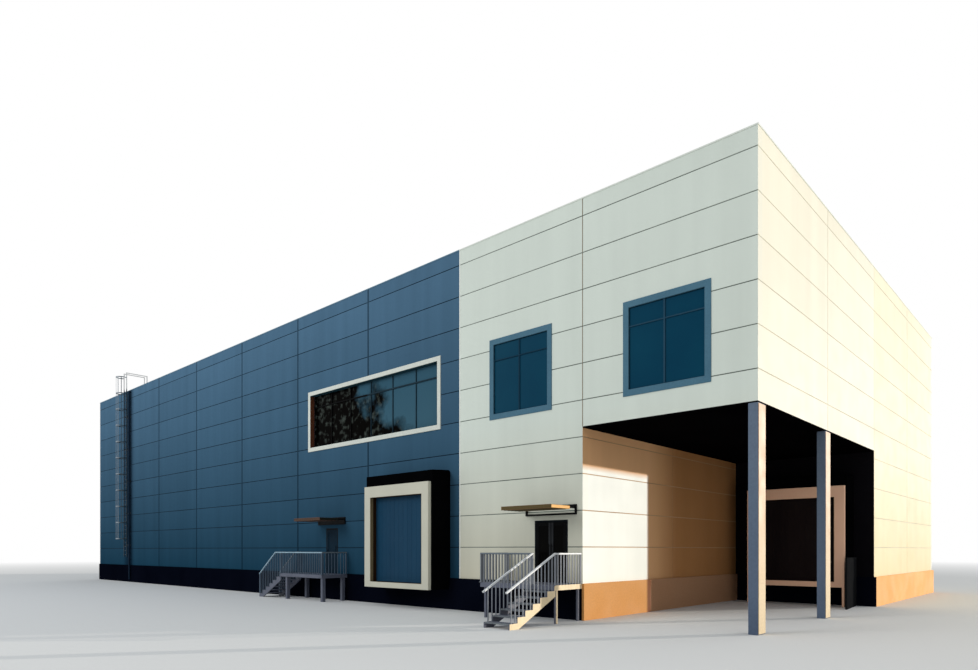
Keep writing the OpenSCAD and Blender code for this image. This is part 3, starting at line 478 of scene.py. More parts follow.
# for each finish its skin, tone, shade and what it has of its own
plainLooks = {
    "dark_lining": ("lining", (0.0012, 0.001, 0.0012), (0.0022, 0.002, 0.0024), {}),
    "porch_wall_dark": ("lining", (0.0046, 0.0042, 0.0056), (0.0072, 0.0064, 0.0084), {}),
    "dark_plinth_render": ("plaster", (0.0015, 0.0022, 0.0055), (0.003, 0.004, 0.009), {}),
    # the tan base is darker in the porch and brown past the sunlit patch: painted shade
    "tan_plinth_render": ("plaster", (0.88, 0.46, 0.16), (0.79, 0.4, 0.13),
        dict(porchShadeReach=(0.1, 2.2 * bay), porchShadeTone=(0.66, 0.31, 0.094),
             porchShadeSteps=[((0.198, 0.065, 0.017), (1.885, 1.955)), ((0.4, 0.215, 0.115), (2.03, 2.09))],
             rough=(0.65, 0.85), gloss=0.2)),
    "floor_concrete": ("slab", (0.36, 0.36, 0.34), (0.28, 0.28, 0.27), dict(rough=(0.7, 0.9), grain=30)),
    "roof_membrane": ("slab", (0.42, 0.43, 0.43), (0.33, 0.34, 0.35), dict(patch=0.5)),
    "roof_membrane_lap": ("slab", (0.37, 0.38, 0.385), (0.29, 0.3, 0.31), dict(patch=1)),
    # painted light and shade: the columns' paint lightens towards the top, and their side plates darken and
    # brown towards the top
    "column_paint": ("columnPaint", (0.096, 0.13, 0.193), (0.078, 0.108, 0.165),
        dict(paintedLightTone=(0.112, 0.15, 0.208), bump=0.06, gloss=0.2)),
    "column_plate_paint": ("columnPaint", (0.63, 0.48, 0.27), (0.58, 0.44, 0.24),
        dict(paintedLightTone=(0.455, 0.25, 0.106), bump=0.05)),
    "dock_black": ("lining", (0.0012, 0.0012, 0.0015), (0.0022, 0.0022, 0.0028),
        dict(patch=1.2, grain=80, bump=0.15)),
    "ribbon_trim_paint": ("sheetPaint", (0.66, 0.68, 0.61), (0.6, 0.62, 0.56),
        dict(patch=1.2, rough=(0.38, 0.5), bump=0.04)),
    "joint_cover_white": ("sheetPaint", (0.86, 0.89, 0.84), (0.8, 0.83, 0.78),
        dict(patch=1, grain=80, bump=0.04, gloss=0.2)),
    "dock_door_blue": ("dockDoor", (0.01, 0.05, 0.098), (0.007, 0.038, 0.078),
        dict(rough=(0.5, 0.6), bump=0.05, gloss=0.08)),
    "porch_door_dark": ("dockDoor", (0.0075, 0.0045, 0.005), (0.012, 0.0075, 0.0075),
        dict(rough=(0.5, 0.65), bump=0.06, gloss=0.06)),
    # painted shade inside the dock openings
    "dock_box_painted_shade": ("dockLiner", (0.034, 0.016, 0.005), (0.021, 0.01, 0.004),
        dict(rough=(0.7, 0.85), gloss=0.03)),
    "dock_frame_painted_shade": ("dockLiner", (0.24, 0.185, 0.1), (0.17, 0.13, 0.07),
        dict(rough=(0.5, 0.65), gloss=0.1)),
    "dark_bar_metal": ("darkMetal", (0.004, 0.006, 0.009), (0.007, 0.01, 0.014), {}),
    "downpipe_paint": ("darkMetal", (0.004, 0.012, 0.026), (0.007, 0.018, 0.036), {}),
    "window_frame_blue": ("windowPaint", (0.075, 0.17, 0.235), (0.062, 0.146, 0.208),
        dict(rough=(0.45, 0.58), gloss=0.12)),
    "window_glass_dark": ("glass", (0.001, 0.031, 0.066), (0.003, 0.056, 0.096),
        dict(patch=0.45, rough=(0.04, 0.08), grain=1.2, bump=0.03, gloss=0.1, tint=(0.25, 0.7, 1))),
    "entrance_door_glass": ("glass", (0.001, 0.001, 0.001), (0.0028, 0.0026, 0.0022),
        dict(patch=1.6, rough=(0.05, 0.1), grain=2, bump=0.02, gloss=0.02)),
    "entrance_door_metal": ("finePaint", (0.003, 0.0032, 0.0035), (0.0018, 0.002, 0.0023),
        dict(rough=(0.4, 0.55), gloss=0.04)),
    "entrance_meeting_stile": ("finePaint", (0.026, 0.028, 0.031), (0.018, 0.02, 0.023),
        dict(rough=(0.35, 0.5), gloss=0.08)),
    "service_door_grey": ("finePaint", (0.007, 0.022, 0.038), (0.005, 0.016, 0.029),
        dict(rough=(0.45, 0.55), gloss=0.02)),
    "black_steel": ("finePaint", (0.004, 0.004, 0.0045), (0.007, 0.007, 0.0075),
        dict(patch=4, rough=(0.55, 0.7), gloss=0.06)),
    "hand_rail_pale": ("handRail", (0.74, 0.75, 0.76), (0.62, 0.64, 0.66),
        dict(rough=(0.3, 0.45), gloss=0.4)),
    "hand_rail_teal": ("handRail", (0.3, 0.42, 0.5), (0.24, 0.35, 0.42), {}),
    "hand_rail_grey": ("handRail", (0.15, 0.18, 0.205), (0.115, 0.14, 0.165), {}),
    "reveal_head_teal": ("board", (0.022, 0.066, 0.084), (0.016, 0.052, 0.068),
        dict(patch=2, bump=0.1, gloss=0.04)),
    "reveal_board_brown": ("board", (0.125, 0.036, 0.012), (0.075, 0.022, 0.008),
        dict(stretch=(1, 1, 0.15), speck=60, speckLow=0.85, grainStretch=(1, 1, 0.08))),
    # painted sunlight on the sunny side of the front stair
    "stair_painted_sunlight": ("stair", (0.92, 0.74, 0.48), (0.82, 0.66, 0.42), dict(gloss=0.2)),
    # painted light and shade: the ladder is dark below the coping and pale above it where it catches the
    # light; the cage's inner straps are dark and its outer ones pale
    "ladder_steel_dark": ("ladder", (0.035, 0.055, 0.075), (0.022, 0.036, 0.05),
        dict(paintedLightTone=(0.4, 0.42, 0.44), paintedLightAxis="Z", fadeSpan=(wallTop - 0.02, wallTop + 0.05),
             rough=(0.45, 0.65), gloss=0.15)),
    "cage_steel": ("ladder", (0.34, 0.39, 0.43), (0.25, 0.29, 0.325),
        dict(paintedLightTone=(0.045, 0.07, 0.092), paintedLightAxis="Y", fadeSpan=fromFront((-0.4, -0.34)),
             rough=(0.35, 0.6), metal=0.3)),
    # the guard panel is dark grey, darkened further as painted shade
    "guard_panel_paint": ("seal", (0.013, 0.0135, 0.0145), (0.01, 0.0105, 0.0115),
        dict(patch=3, rough=(0.8, 0.9), gloss=0.0)),
    "rubber_gasket": ("seal", (0.004, 0.022, 0.038), (0.007, 0.028, 0.046), dict(patch=4, grain=150)),
    "joint_seal_grey": ("seal", (0.22, 0.245, 0.215), (0.1, 0.12, 0.105), {}),
    "joint_seal_side": ("seal", (0.74, 0.7, 0.56), (0.56, 0.53, 0.43), {}),
    # the recess seals are brown to match the recess wall's painted shade
    "joint_seal_recess": ("seal", (0.56, 0.36, 0.2), (0.42, 0.26, 0.14), {}),
    "joint_seal_blue": ("seal", (0.005, 0.013, 0.024), (0.002, 0.006, 0.012), dict(gloss=0.03)),
}
# for each finish its skin, how far left of the side face it changes, and the tone and shade of each half
splitLooks = {
    "wall_capping": ("sheetPaint", 2 * bay, ((0.075, 0.17, 0.25), (0.09, 0.19, 0.275)),
        ((0.74, 0.77, 0.7), (0.68, 0.71, 0.65)), dict(patch=0.8, rough=(0.3, 0.42), grain=50, bump=0.03)),
    # painted light: the porch dock's frame is brighter and warmer than the front one, standing in for warm
    # light bounced in the porch
    "dock_trim_paint": ("sheetPaint", 1.5 * bay, ((0.575, 0.555, 0.45), (0.52, 0.505, 0.415)),
        ((1.0, 0.62, 0.42), (0.96, 0.58, 0.39)), {}),
    "window_bar_blue": ("windowPaint", bay, ((0.008, 0.036, 0.064), (0.006, 0.031, 0.056)),
        ((0.022, 0.064, 0.102), (0.018, 0.056, 0.092)), dict(rough=(0.4, 0.5), gloss=0.04)),
    # painted reflection: the wide window's bars are near black where they cross the glass's dark left end
    "window_bar_dark": ("windowPaint", 9.0, ((0.0025, 0.0025, 0.003), (0.004, 0.004, 0.004)),
        ((0.019, 0.038, 0.052), (0.014, 0.03, 0.042)), dict(rough=(0.5, 0.6), gloss=0.02)),
    # painted shade: the service halves of the rails, canopy boards, end boards, trims, stairs and nosings are
    # darker, as that entrance stands in deeper shade
    "rail_paint_grey": ("finePaint", amid, ((0.08, 0.118, 0.165), (0.06, 0.088, 0.125)),
        ((0.22, 0.235, 0.265), (0.17, 0.185, 0.21)), dict(rough=(0.35, 0.5), gloss=0.25)),
    "canopy_board_brown": ("board", amid, ((0.085, 0.045, 0.028), (0.055, 0.03, 0.019)),
        ((0.114, 0.079, 0.031), (0.075, 0.055, 0.023)),
        dict(stretch=(0.15, 1, 1), grainStretch=(0.08, 1, 1), gloss=0.12)),
    "canopy_end_board": ("board", amid, ((0.024, 0.02, 0.012), (0.014, 0.014, 0.01)),
        ((0.88, 0.475, 0.14), (0.75, 0.39, 0.105)),
        dict(patch=5, stretch=(1, 0.15, 1), grainStretch=(1, 0.08, 1), gloss=0.15)),
    "canopy_edge_trim": ("board", amid, ((0.13, 0.064, 0.036), (0.095, 0.048, 0.027)),
        ((0.19, 0.105, 0.038), (0.14, 0.078, 0.028)),
        dict(stretch=(0.15, 1, 1), rough=(0.4, 0.55), bump=0.1, gloss=0.2)),
    "stair_paint_pale": ("stair", amid, ((0.115, 0.125, 0.165), (0.085, 0.095, 0.13)),
        ((0.13, 0.14, 0.182), (0.104, 0.114, 0.152)), {}),
    "stair_nosing_steel": ("stair", amid, ((0.07, 0.08, 0.1), (0.05, 0.06, 0.075)),
        ((0.16, 0.18, 0.195), (0.12, 0.135, 0.15)),
        dict(patch=5, rough=(0.35, 0.55), grain=140, bump=0.15, gloss=0.4)),
}
finishes = {name: panelFinish(name, look, along) for name, (look, along) in panelLooks.items()}
for name, (skin, tone, shade, own) in plainLooks.items():
    finishes[name] = plainFinish(name, dict(skins[skin], tone=tone, shade=shade, **own))
for name, (skin, edge, left, right, own) in splitLooks.items():
    finishes[name] = splitFinish(name, dict(skins[skin], edge=edge, left=left, right=right, **own))
finishes["window_glass_wide"] = wideGlassFinish("window_glass_wide", wideGlassLook)

nodeFinish = {
    "cream_panel_long": ["wall_entrance_low", "wall_entrance_high", "wall_porch_front", "wall_rear_cream"],
    "cream_panel_porch": ["wall_side_porch"],
    "cream_panel_side": ["wall_side_rear"],
    "cream_panel_recess": ["recess_wall"],
    "blue_panel_long": ["wall_blue_low", "wall_blue_high", "wall_blue_long", "wall_rear_blue"],
    "blue_panel_cross": ["wall_end"],
    "dark_plinth_render": ["plinth_dark_long", "plinth_dark_cross"],
    "tan_plinth_render": ["plinth_tan_cross", "plinth_tan_rear"],
    "dark_lining": ["porch_soffit"],
    "porch_wall_dark": ["recess_back_wall"],
    "floor_concrete": ["ground_floor", "upper_floor"],
    "roof_membrane": ["roof"],
    "wall_capping": ["coping"],
    "column_paint": ["porch_columns"],
    "dock_black": ["dock_boxes"],
    "dock_trim_paint": ["dock_frames"],
    "dock_door_blue": ["dock_door_front"],
    "porch_door_dark": ["dock_door_porch"],
    "ribbon_trim_paint": ["ribbon_frame"],
    "dark_bar_metal": ["door_frames"],
    "window_bar_blue": ["window_bars"],
    "window_frame_blue": ["window_frames"],
    "window_glass_dark": ["window_glass"],
    "entrance_door_metal": ["entrance_leaf_left", "entrance_leaf_right"],
    "service_door_grey": ["service_leaf"],
    "canopy_board_brown": ["canopies"],
    "black_steel": ["canopy_frames"],
    "stair_paint_pale": ["landings", "stair_treads", "stair_supports"],
    "rail_paint_grey": ["railings"],
    "ladder_steel_dark": ["roof_ladder"],
    "cage_steel": ["ladder_cage"],
    "downpipe_paint": ["downpipe"],
    "guard_panel_paint": ["guard_panel"],
}
finishOf = {node: finish for finish, nodes in nodeFinish.items() for node in nodes}
for node, finish in finishOf.items():
    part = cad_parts[node]
    part.data.materials.clear()
    part.data.materials.append(finishes[finish])
print("stage 2: finishes on every node")


sealLook = {"grooveDepth": 0.008, "rise": 0.003, "blueRise": 0.0066, "near": 0.0005}
# for each side the axis and place of its face, which way it looks, its seals' colour, and its walls
sealSides = {
    "front": (1, frontFace, -1, "grey",
              ["wall_entrance_low", "wall_entrance_high", "wall_porch_front"]),
    "front_blue": (1, frontFace, -1, "blue",
                   ["wall_blue_low", "wall_blue_high", "wall_blue_long"]),
    "rear": (1, rearFace, 1, "grey", ["wall_rear_cream"]),
    "rear_blue": (1, rearFace, 1, "blue", ["wall_rear_blue"]),
    "side": (0, sideFace, 1, "side",
             ["wall_side_rear", "wall_side_porch", "wall_porch_front", "wall_rear_cream"]),
    "end_blue": (0, endFace, -1, "blue", ["wall_end", "wall_blue_long", "wall_rear_blue"]),
    "recess": (0, recessFace, 1, "recess",
               ["recess_wall", "wall_entrance_low", "wall_entrance_high"]),
}


def onGroove(at, normal, axis, face, outward):
    away = at[axis] - (face - outward * sealLook["grooveDepth"])
    return abs(away) < sealLook["near"] and normal[axis] * outward > squareOn


for side, (axis, face, outward, colour, walls) in sealSides.items():
    strips = []
    for wall in walls:
        strip = cutAway(cadCopy(wall, "seal_" + wall),
                        lambda at, normal: not onGroove(at, normal, axis, face, outward))
        strips.append(thicken(strip, sealLook["blueRise" if colour == "blue" else "rise"]))
    settle(strips, "panel_seals_" + side, "joint_seal_" + colour)
print("stage 3: joint seals")


# for each CAD node its softened copy's slot, the edge's width and its steps
edgeLook = {
    "dock_boxes": ("dock_black", 0.012, 3),
    "dock_frames": ("dock_trim", 0.008, 3),
    "railings": ("rail_paint", 0.004, 2),
    "landings": ("stair_paint", 0.006, 2),
    "stair_treads": ("stair_paint", 0.003, 2),
    "stair_supports": ("stair_paint", 0.003, 2),
    "porch_columns": ("column_paint", 0.006, 2),
    "canopies": ("canopy_sheet", 0.006, 2),
    "canopy_frames": ("black_steel", 0.004, 2),
    "window_frames": ("frame_blue", 0.004, 2),
    "ribbon_frame": ("cream_trim", 0.006, 2),
    "guard_panel": ("guard_paint", 0.008, 2),
    "roof_ladder": ("galvanised", 0.003, 2),
    "downpipe": ("pipe_paint", 0.002, 2),
    "ladder_cage": ("galvanised", 0.0012, 2),
}
ownNames = {"dock_boxes": "dock_box_padded", "dock_frames": "dock_frame_folded"}
for node, (slot, width, steps) in edgeLook.items():
    name = ownNames.get(node, node + "_edged")
    smooth = settle([soften(cadCopy(node, name), width, steps)], name, finishOf[node])
    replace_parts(smooth, node)
    if node == "guard_panel":
        smooth.visible_shadow = False      # the sunny patch on the recess base stays whole
print("stage 4: softened edges")


plateLook = {"thick": 0.006, "inset": 0.012, "edge": 0.002, "ends": 0.01, "column": 0.26}
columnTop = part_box("porch_columns")[1][2]
plates = []
for near in fromFront((0, bay - plateLook["column"] / 2)):
    far = near + plateLook["column"]
    plate = box("plate", (sideFace, near + plateLook["inset"], plateLook["ends"]),
                (sideFace + plateLook["thick"], far - plateLook["inset"], columnTop - plateLook["ends"]))
    plates.append(soften(plate, plateLook["edge"]))
settle(plates, "column_side_plates", "column_plate_paint")

revealLook = {"frame": 0.096, "thick": 0.004, "front": 0.014, "back": 0.1, "edge": 0.001}
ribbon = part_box("ribbon_frame")
left, right = ribbon[0][0] + revealLook["frame"], ribbon[1][0] - revealLook["frame"]
low, high = ribbon[0][2] + revealLook["frame"], ribbon[1][2] - revealLook["frame"]
thick = revealLook["thick"]
jambs, heads = [], []
for wall, inward in ((frontFace, 1), (rearFace, -1)):
    near, far = sorted((wall - inward * revealLook["front"], wall + inward * revealLook["back"]))
    jambs += [box("jamb", (x, near, low), (x + thick, far, high)) for x in (left, right - thick)]
    heads += [box("head", (left + thick, near, z), (right - thick, far, z + thick))
              for z in (low, high - thick)]
for board in jambs + heads:
    soften(board, revealLook["edge"])
settle(jambs, "ribbon_reveal_jambs", "reveal_board_brown")
settle(heads, "ribbon_reveal_heads", "reveal_head_teal")
print("stage 5: plates and reveals")


# lines of the rails, measured from the front corner, and how far each stair's rail falls
railLook = {"side": -2.962, "stair": -3.43, "far": -4.603, "front": -0.688, "wall": -0.03, "turn": -0.7,
            "foot": -1.794, "fall": 0.5582, "level": 1.09}
serviceLook = {"near": -9.637, "far": -11.393, "outer": -0.653, "inner": -0.147, "turn": -11.66,
               "foot": -12.437, "fall": 0.5268}
capLook = {"wide": 0.032, "high": 0.028, "edge": 0.006, "lap": 0.014, "over": 0.004, "inset": 0.012,
           "past": 0.002}


def railCap(start, end, fall=0):
    return beam("cap", spot(*start, railLook["level"]), spot(*end, railLook["level"] - fall), capLook)


side, stair, far, wall = railLook["side"], railLook["stair"], railLook["far"], railLook["wall"]
front, serviceFar = railLook["front"], serviceLook["far"]
turn, foot, fall = railLook["turn"], railLook["foot"], railLook["fall"]
lap, over, past = capLook["lap"], capLook["over"], capLook["past"]
# painted light: the caps are pale where the rails catch the light, and teal or grey where they stand in shade
settle([railCap((side, wall), (side, turn - over)),
        railCap((side, turn), (side, foot), fall),
        railCap((stair, front + capLook["inset"]), (stair, turn - over)),
        railCap((stair, turn), (stair, foot), fall)], "hand_rail_caps_front", "hand_rail_pale")
near, outer, inner = serviceLook["near"], serviceLook["outer"], serviceLook["inner"]
serviceTurn, serviceFoot = serviceLook["turn"], serviceLook["foot"]
settle([railCap((serviceTurn, outer), (near + lap, outer)),
        railCap((serviceTurn, outer), (serviceFoot, outer), serviceLook["fall"])],
       "hand_rail_caps_service", "hand_rail_teal")
settle([railCap((far - lap, front), (stair - capLook["wide"] / 2, front)),
        railCap((far, wall), (far, front - past)),
        railCap((near, wall), (near, outer - past)),
        railCap((serviceFar + lap, inner), (serviceTurn, inner)),
        railCap((serviceTurn, inner), (serviceFoot, inner), serviceLook["fall"])],
       "hand_rail_caps_grey", "hand_rail_grey")

nosing = {"lip": 0.018, "reach": 0.034, "thick": 0.003, "edge": 0.0008, "steps": 6, "going": 0.168,
          "rise": 0.6 / 7, "tread": 0.5143, "front": ((-3.455, -0.895), (-2.975, -0.892)),
          "service": ((-11.6, -0.64), (-11.597, -0.16))}


def nosingRow(corners, back):
    # a lip over the tread's edge with a flange that runs back over the tread, and its copies down the flight
    back, tread = Vector(back), nosing["tread"]
    low, high = corners
    strip = box("nosing", spot(*low, tread - nosing["lip"]), spot(*high, tread + nosing["thick"]))
    editOn(strip)
    bpy.ops.mesh.bisect(plane_co=spot(0, 0, tread), plane_no=(0, 0, 1))
    pickFaces(strip, lambda at, normal: normal.dot(back) > squareOn and at.z > tread)
    bpy.ops.mesh.extrude_region_move(TRANSFORM_OT_translate={"value": tuple(back * nosing["reach"])})
    editOff()
    soften(strip, nosing["edge"], 1)
    return repeat(strip, nosing["steps"], Vector((0, 0, -nosing["rise"])) - back * nosing["going"])


settle([nosingRow(nosing["front"], (0, 1, 0)), nosingRow(nosing["service"], (1, 0, 0))], "stair_nosings",
       "stair_nosing_steel")

# painted sunlight: the sunny side of the front stair gets a thin pale, warm sheet over its dark paint, but
# for the post at the wall, which stands in shade
sunSheetLook = {"thick": 0.0012, "from": 3.05, "postDeep": 0.12, "postHigh": 0.5}


def onSunnySide(at, normal):
    onPost = at.y > frontFace - sunSheetLook["postDeep"] and at.z < sunSheetLook["postHigh"]
    return normal.x > squareOn and at.x > sideFace - sunSheetLook["from"] and not onPost


sunSheets = []
for node in ("stair_supports", "landings", "stair_treads"):
    skin = cutAway(cadCopy(node, "skin_" + node), lambda at, normal: not onSunnySide(at, normal))
    sunSheets.append(thicken(skin, sunSheetLook["thick"]))
settle(sunSheets, "front_stair_sunlight_sheet", "stair_painted_sunlight")

plateFoot = {"half": 0.026, "thick": 0.006, "rim": 0.012, "rise": 0.004, "level": 0.6, "edge": 0.001,
             "wallPost": -0.06, "stairPost": -3.455}
wallPost = plateFoot["wallPost"]
footPosts = [(far, front), (plateFoot["stairPost"], front), (far, wallPost), (side, wallPost), (near, outer),
             (near, wallPost), (serviceFar, outer), (serviceFar, inner)]
feet = []
for x, y in footPosts:
    half, level = plateFoot["half"], plateFoot["level"]
    low, high = spot(x - half, y - half, level), spot(x + half, y + half, level + plateFoot["thick"])
    feet.append(rimmed("foot", low, high, lambda at, normal: normal.z > squareOn, plateFoot))
settle(feet, "rail_post_feet", "rail_paint_grey")
print("stage 6: stairs and rails")


canopyLook = {"half": 0.545, "front": -0.65, "back": -0.18, "low": 1.815, "high": 1.87, "out": 0.001}
trimLook = {"wide": 0.007, "high": 0.007, "edge": 0.0015}
endLook = {"half": 0.003, "rim": 0.004, "rise": -0.001, "back": 0.003, "edge": 0.0008}
battenLook = {"inset": 0.03, "first": 0.05, "gap": 0.088, "count": 5, "drop": 0.003, "wide": 0.03,
              "high": 0.01, "edge": 0.002}
shadePlateLook = {"low": (-10.8, -0.026, 1.766), "high": (-9.75, -0.006, 1.872), "rim": 0.012, "rise": -0.004,
              "edge": 0.001}
front, back, low, high, out = (canopyLook[key] for key in ("front", "back", "low", "high", "out"))
trims, ends, battens = [], [], []
for middle in (entranceAt, serviceAt):
    left, right = middle - canopyLook["half"], middle + canopyLook["half"]
    for z in (low, high):
        trims.append(beam("trim", spot(left, front - out, z), spot(right, front - out, z), trimLook))
    for x in (left - out, right + out):
        ends.append(rimmed("end", spot(x - endLook["half"], front + endLook["rim"], low + endLook["rim"]),
                           spot(x + endLook["half"], back - endLook["back"], high - endLook["back"]),
                           lambda at, normal: abs(normal.x) > squareOn, endLook))
    y, z = front + battenLook["first"], low - battenLook["drop"]
    inset = battenLook["inset"]
    batten = beam("batten", spot(left + inset, y, z), spot(right - inset, y, z), battenLook)
    battens.append(repeat(batten, battenLook["count"], (0, battenLook["gap"], 0)))
# painted shade: a black plate fills the service canopy's frame, where the wall behind stands in deep shade
shadePlate = rimmed("shadePlate", spot(*shadePlateLook["low"]), spot(*shadePlateLook["high"]),
                lambda at, normal: normal.y < -squareOn, shadePlateLook)
settle([shadePlate], "service_canopy_shadePlate", "black_steel")
settle(trims, "canopy_edge_trims", "canopy_edge_trim")
# painted light and shade: the end boards are a lit golden copy of the canopy boards at the front canopy and a
# dark, shaded copy at the service one
settle(ends, "canopy_end_boards", "canopy_end_board")
settle(battens, "canopy_battens", "canopy_board_brown")
print("stage 7: canopies")


leafLook = {"half": 0.328, "gap": 0.005, "low": 0.703, "high": 1.57, "stile": 0.048}
paneLook = {"at": 0.0072, "thick": 0.002, "edge": 0.0006}
beadLook = {"at": 0.0062, "wide": 0.01, "thick": 0.004, "edge": 0.001}
stileLook = {"front": -0.0018, "back": 0.0002, "low": 0.612, "high": 1.613, "inset": 0.002, "edge": 0.0008}
for hand, way in (("left", -1), ("right", 1)):
    body = "entrance_" + hand
    inner, outer = entranceAt + way * leafLook["gap"], entranceAt + way * leafLook["half"]
    size = (abs(outer - inner) - 2 * leafLook["stile"], leafLook["high"] - leafLook["low"])
    x, z = (inner + outer) / 2, (leafLook["low"] + leafLook["high"]) / 2
    pane = thicken(sheet("pane", spot(x, paneLook["at"], z), size, "front"), paneLook["thick"], 0)
    soften(pane, paneLook["edge"], 1)
    settle([pane], "entrance_pane_" + hand, "entrance_door_glass", body)
    bead = ring("bead", spot(x, beadLook["at"], z), size, "front", beadLook["wide"], beadLook["thick"])
    soften(bead, beadLook["edge"], 1)
    settle([bead], "entrance_bead_" + hand, "entrance_door_metal", body)
    x0, x1 = sorted((inner + way * stileLook["inset"], inner + way * leafLook["stile"]))
    stile = box("stile", spot(x0, stileLook["front"], stileLook["low"]),
                spot(x1, stileLook["back"], stileLook["high"]))
    soften(stile, stileLook["edge"], 1)
    settle([stile], "entrance_stile_" + hand, "entrance_meeting_stile", body)
print("stage 8: entrance leaves")


# for each dock its middle, the front of its frame, and its door's slot and finish
docks = {"front": (-7.21, -0.527, "door_blue", "dock_door_blue"),
         "porch": (-1.435, 5.353, "door_dark", "porch_door_dark")}
# painted shade: thin brown sheets line the inner faces of each dock's opening, darker inside the box
shadeSheetLook = {"thick": 0.003, "half": 0.8175, "low": 0.502, "high": 2.222, "start": 0.001, "frameEnd": 0.074,
             "boxStart": 0.077, "boxEnd": 0.1485}
half, low, high = shadeSheetLook["half"], shadeSheetLook["low"], shadeSheetLook["high"]
frameShadeSheets, boxShadeSheets = [], []
for middle, start, slot, finish in docks.values():
    for y0, y1, free, bands in (("start", "frameEnd", 2, frameShadeSheets), ("start", "boxEnd", 0, boxShadeSheets),
                                ("boxStart", "boxEnd", 2, boxShadeSheets)):
        tunnel = box("tunnel", spot(middle - half, start + shadeSheetLook[y0], low),
                     spot(middle + half, start + shadeSheetLook[y1], high))
        cutAway(tunnel, lambda at, normal: abs(normal.y) > squareOn or abs(normal[free]) > squareOn)
        bands.append(thicken(tunnel, shadeSheetLook["thick"], -1))
settle(frameShadeSheets, "dock_frame_shade_sheets", "dock_frame_painted_shade")
settle(boxShadeSheets, "dock_box_shade_sheets", "dock_box_painted_shade")

ribLook = {"wide": 0.01, "high": 0.004, "count": 12, "edge": 0.001, "side": 0.06, "foot": 0.045,
           "head": 0.02, "face": 0.15}
footRail = {"side": 0.006, "level": 0.022, "wide": 0.012, "high": 0.036, "edge": 0.004}
for dock, (middle, start, slot, finish) in docks.items():
    face, left = start + ribLook["face"], middle - half + ribLook["side"]
    rib = beam("rib", spot(left, face, low + ribLook["foot"]), spot(left, face, high - ribLook["head"]),
               ribLook)
    repeat(rib, ribLook["count"], (2 * (half - ribLook["side"]) / (ribLook["count"] - 1), 0, 0))
    level, reach = low + footRail["level"], half - footRail["side"]
    rail = beam("foot", spot(middle - reach, face, level), spot(middle + reach, face, level), footRail)
    settle([rib, rail], "dock_door_" + dock + "_ribs", finish)
print("stage 9: dock doors")


shareEdge = 0.001
for name, node, slot, finish in (("square_panes", "window_glass", "window_glass", "window_glass_dark"),
                                 ("wide_panes", "window_glass", "window_glass", "window_glass_wide"),
                                 ("square_bars", "window_bars", "window_bar", "window_bar_blue"),
                                 ("wide_bars", "window_bars", "window_bar", "window_bar_dark")):
    share = cutAway(cadCopy(node, name),
                    lambda at, normal: (at.x < sideFace - 2 * bay) != name.startswith("wide"))
    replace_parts(settle([soften(share, shareEdge, 1)], name, finish), node)

# for each window its middle, its size and how deep its gasket sits
gasketLook = {"wide": 0.01, "deep": 0.006, "edge": 0.001}
windows = [((-4.34, 4.2575), (1.281, 1.266), 0.0155), ((-1.42, 4.2575), (1.281, 1.266), 0.0155),
           ((-8.865, 4.25), (4.669, 1.259), 0.0955)]
gaskets = []
for facing, wall, inward in (("front", 0.0, 1), ("back", deepAll, -1)):
    for (x, z), size, deep in windows:
        gasket = ring("gasket", spot(x, wall + inward * deep, z), size, facing, gasketLook["wide"],
                      gasketLook["deep"])
        gaskets.append(soften(gasket, gasketLook["edge"], 1))
settle(gaskets, "window_gaskets", "rubber_gasket")

colourJoint = {"from": -5.898, "to": -5.872, "proud": 0.005, "seat": 0.001, "foot": 0.002, "head": 0.022,
               "edge": 0.0015}
strips = []
for y0, y1 in ((-colourJoint["proud"], colourJoint["seat"]),
               (deepAll - colourJoint["seat"], deepAll + colourJoint["proud"])):
    strip = box("strip", spot(colourJoint["from"], y0, plinthTop + colourJoint["foot"]),
                spot(colourJoint["to"], y1, wallTop - colourJoint["head"]))
    strips.append(soften(strip, colourJoint["edge"]))
settle(strips, "colour_joint_covers", "joint_cover_white")

# flat covers over the upright joints of the blue walls
coverSize = {"half": 0.026, "proud": 0.0022, "seat": 0.001, "foot": plinthTop + 0.008,
             "head": wallTop - 0.024, "rim": 0.01, "rise": 0.0008, "edge": 0.0006, "ribbonGap": 0.003,
             "frontCount": 5, "endCount": 3}


def flatCover(low, high, axis):
    return rimmed("cover", low, high, lambda at, normal: abs(normal[axis]) > squareOn, coverSize)


def frontCover(x, low, high):
    return flatCover(spot(x - coverSize["half"], -coverSize["proud"], low),
                     spot(x + coverSize["half"], coverSize["seat"], high), 1)


covers = [repeat(frontCover(-4 * bay, coverSize["foot"], coverSize["head"]), coverSize["frontCount"],
                 (-bay, 0, 0)),
          frontCover(-3 * bay, coverSize["foot"], ribbon[0][2] - coverSize["ribbonGap"]),
          frontCover(-3 * bay, ribbon[1][2] + coverSize["ribbonGap"], coverSize["head"])]
covers += [twin(cover, (0, rearFace - frontFace + coverSize["seat"], 0)) for cover in covers]
endCover = flatCover((endFace - coverSize["proud"], frontFace + bay - coverSize["half"], coverSize["foot"]),
                     (endFace + coverSize["seat"], frontFace + bay + coverSize["half"], coverSize["head"]), 0)
covers.append(repeat(endCover, coverSize["endCount"], (0, bay, 0)))
settle(covers, "upright_joint_covers", "joint_cover_blue")

dripLook = {"out": -0.011, "up": 0.002, "wide": 0.024, "high": 0.006, "edge": 0.0015,
            "runs": ((-26.55, -10.535), (-10.015, -8.266), (-6.154, -4.0), (-3.24, -2.952))}
level = plinthTop + dripLook["up"]
drips = [beam("drip", spot(x0, dripLook["out"], level), spot(x1, dripLook["out"], level), dripLook)
         for x0, x1 in dripLook["runs"]]
settle(drips, "plinth_drips", "dark_plinth_render")
print("stage 10: gaskets, covers and drips")


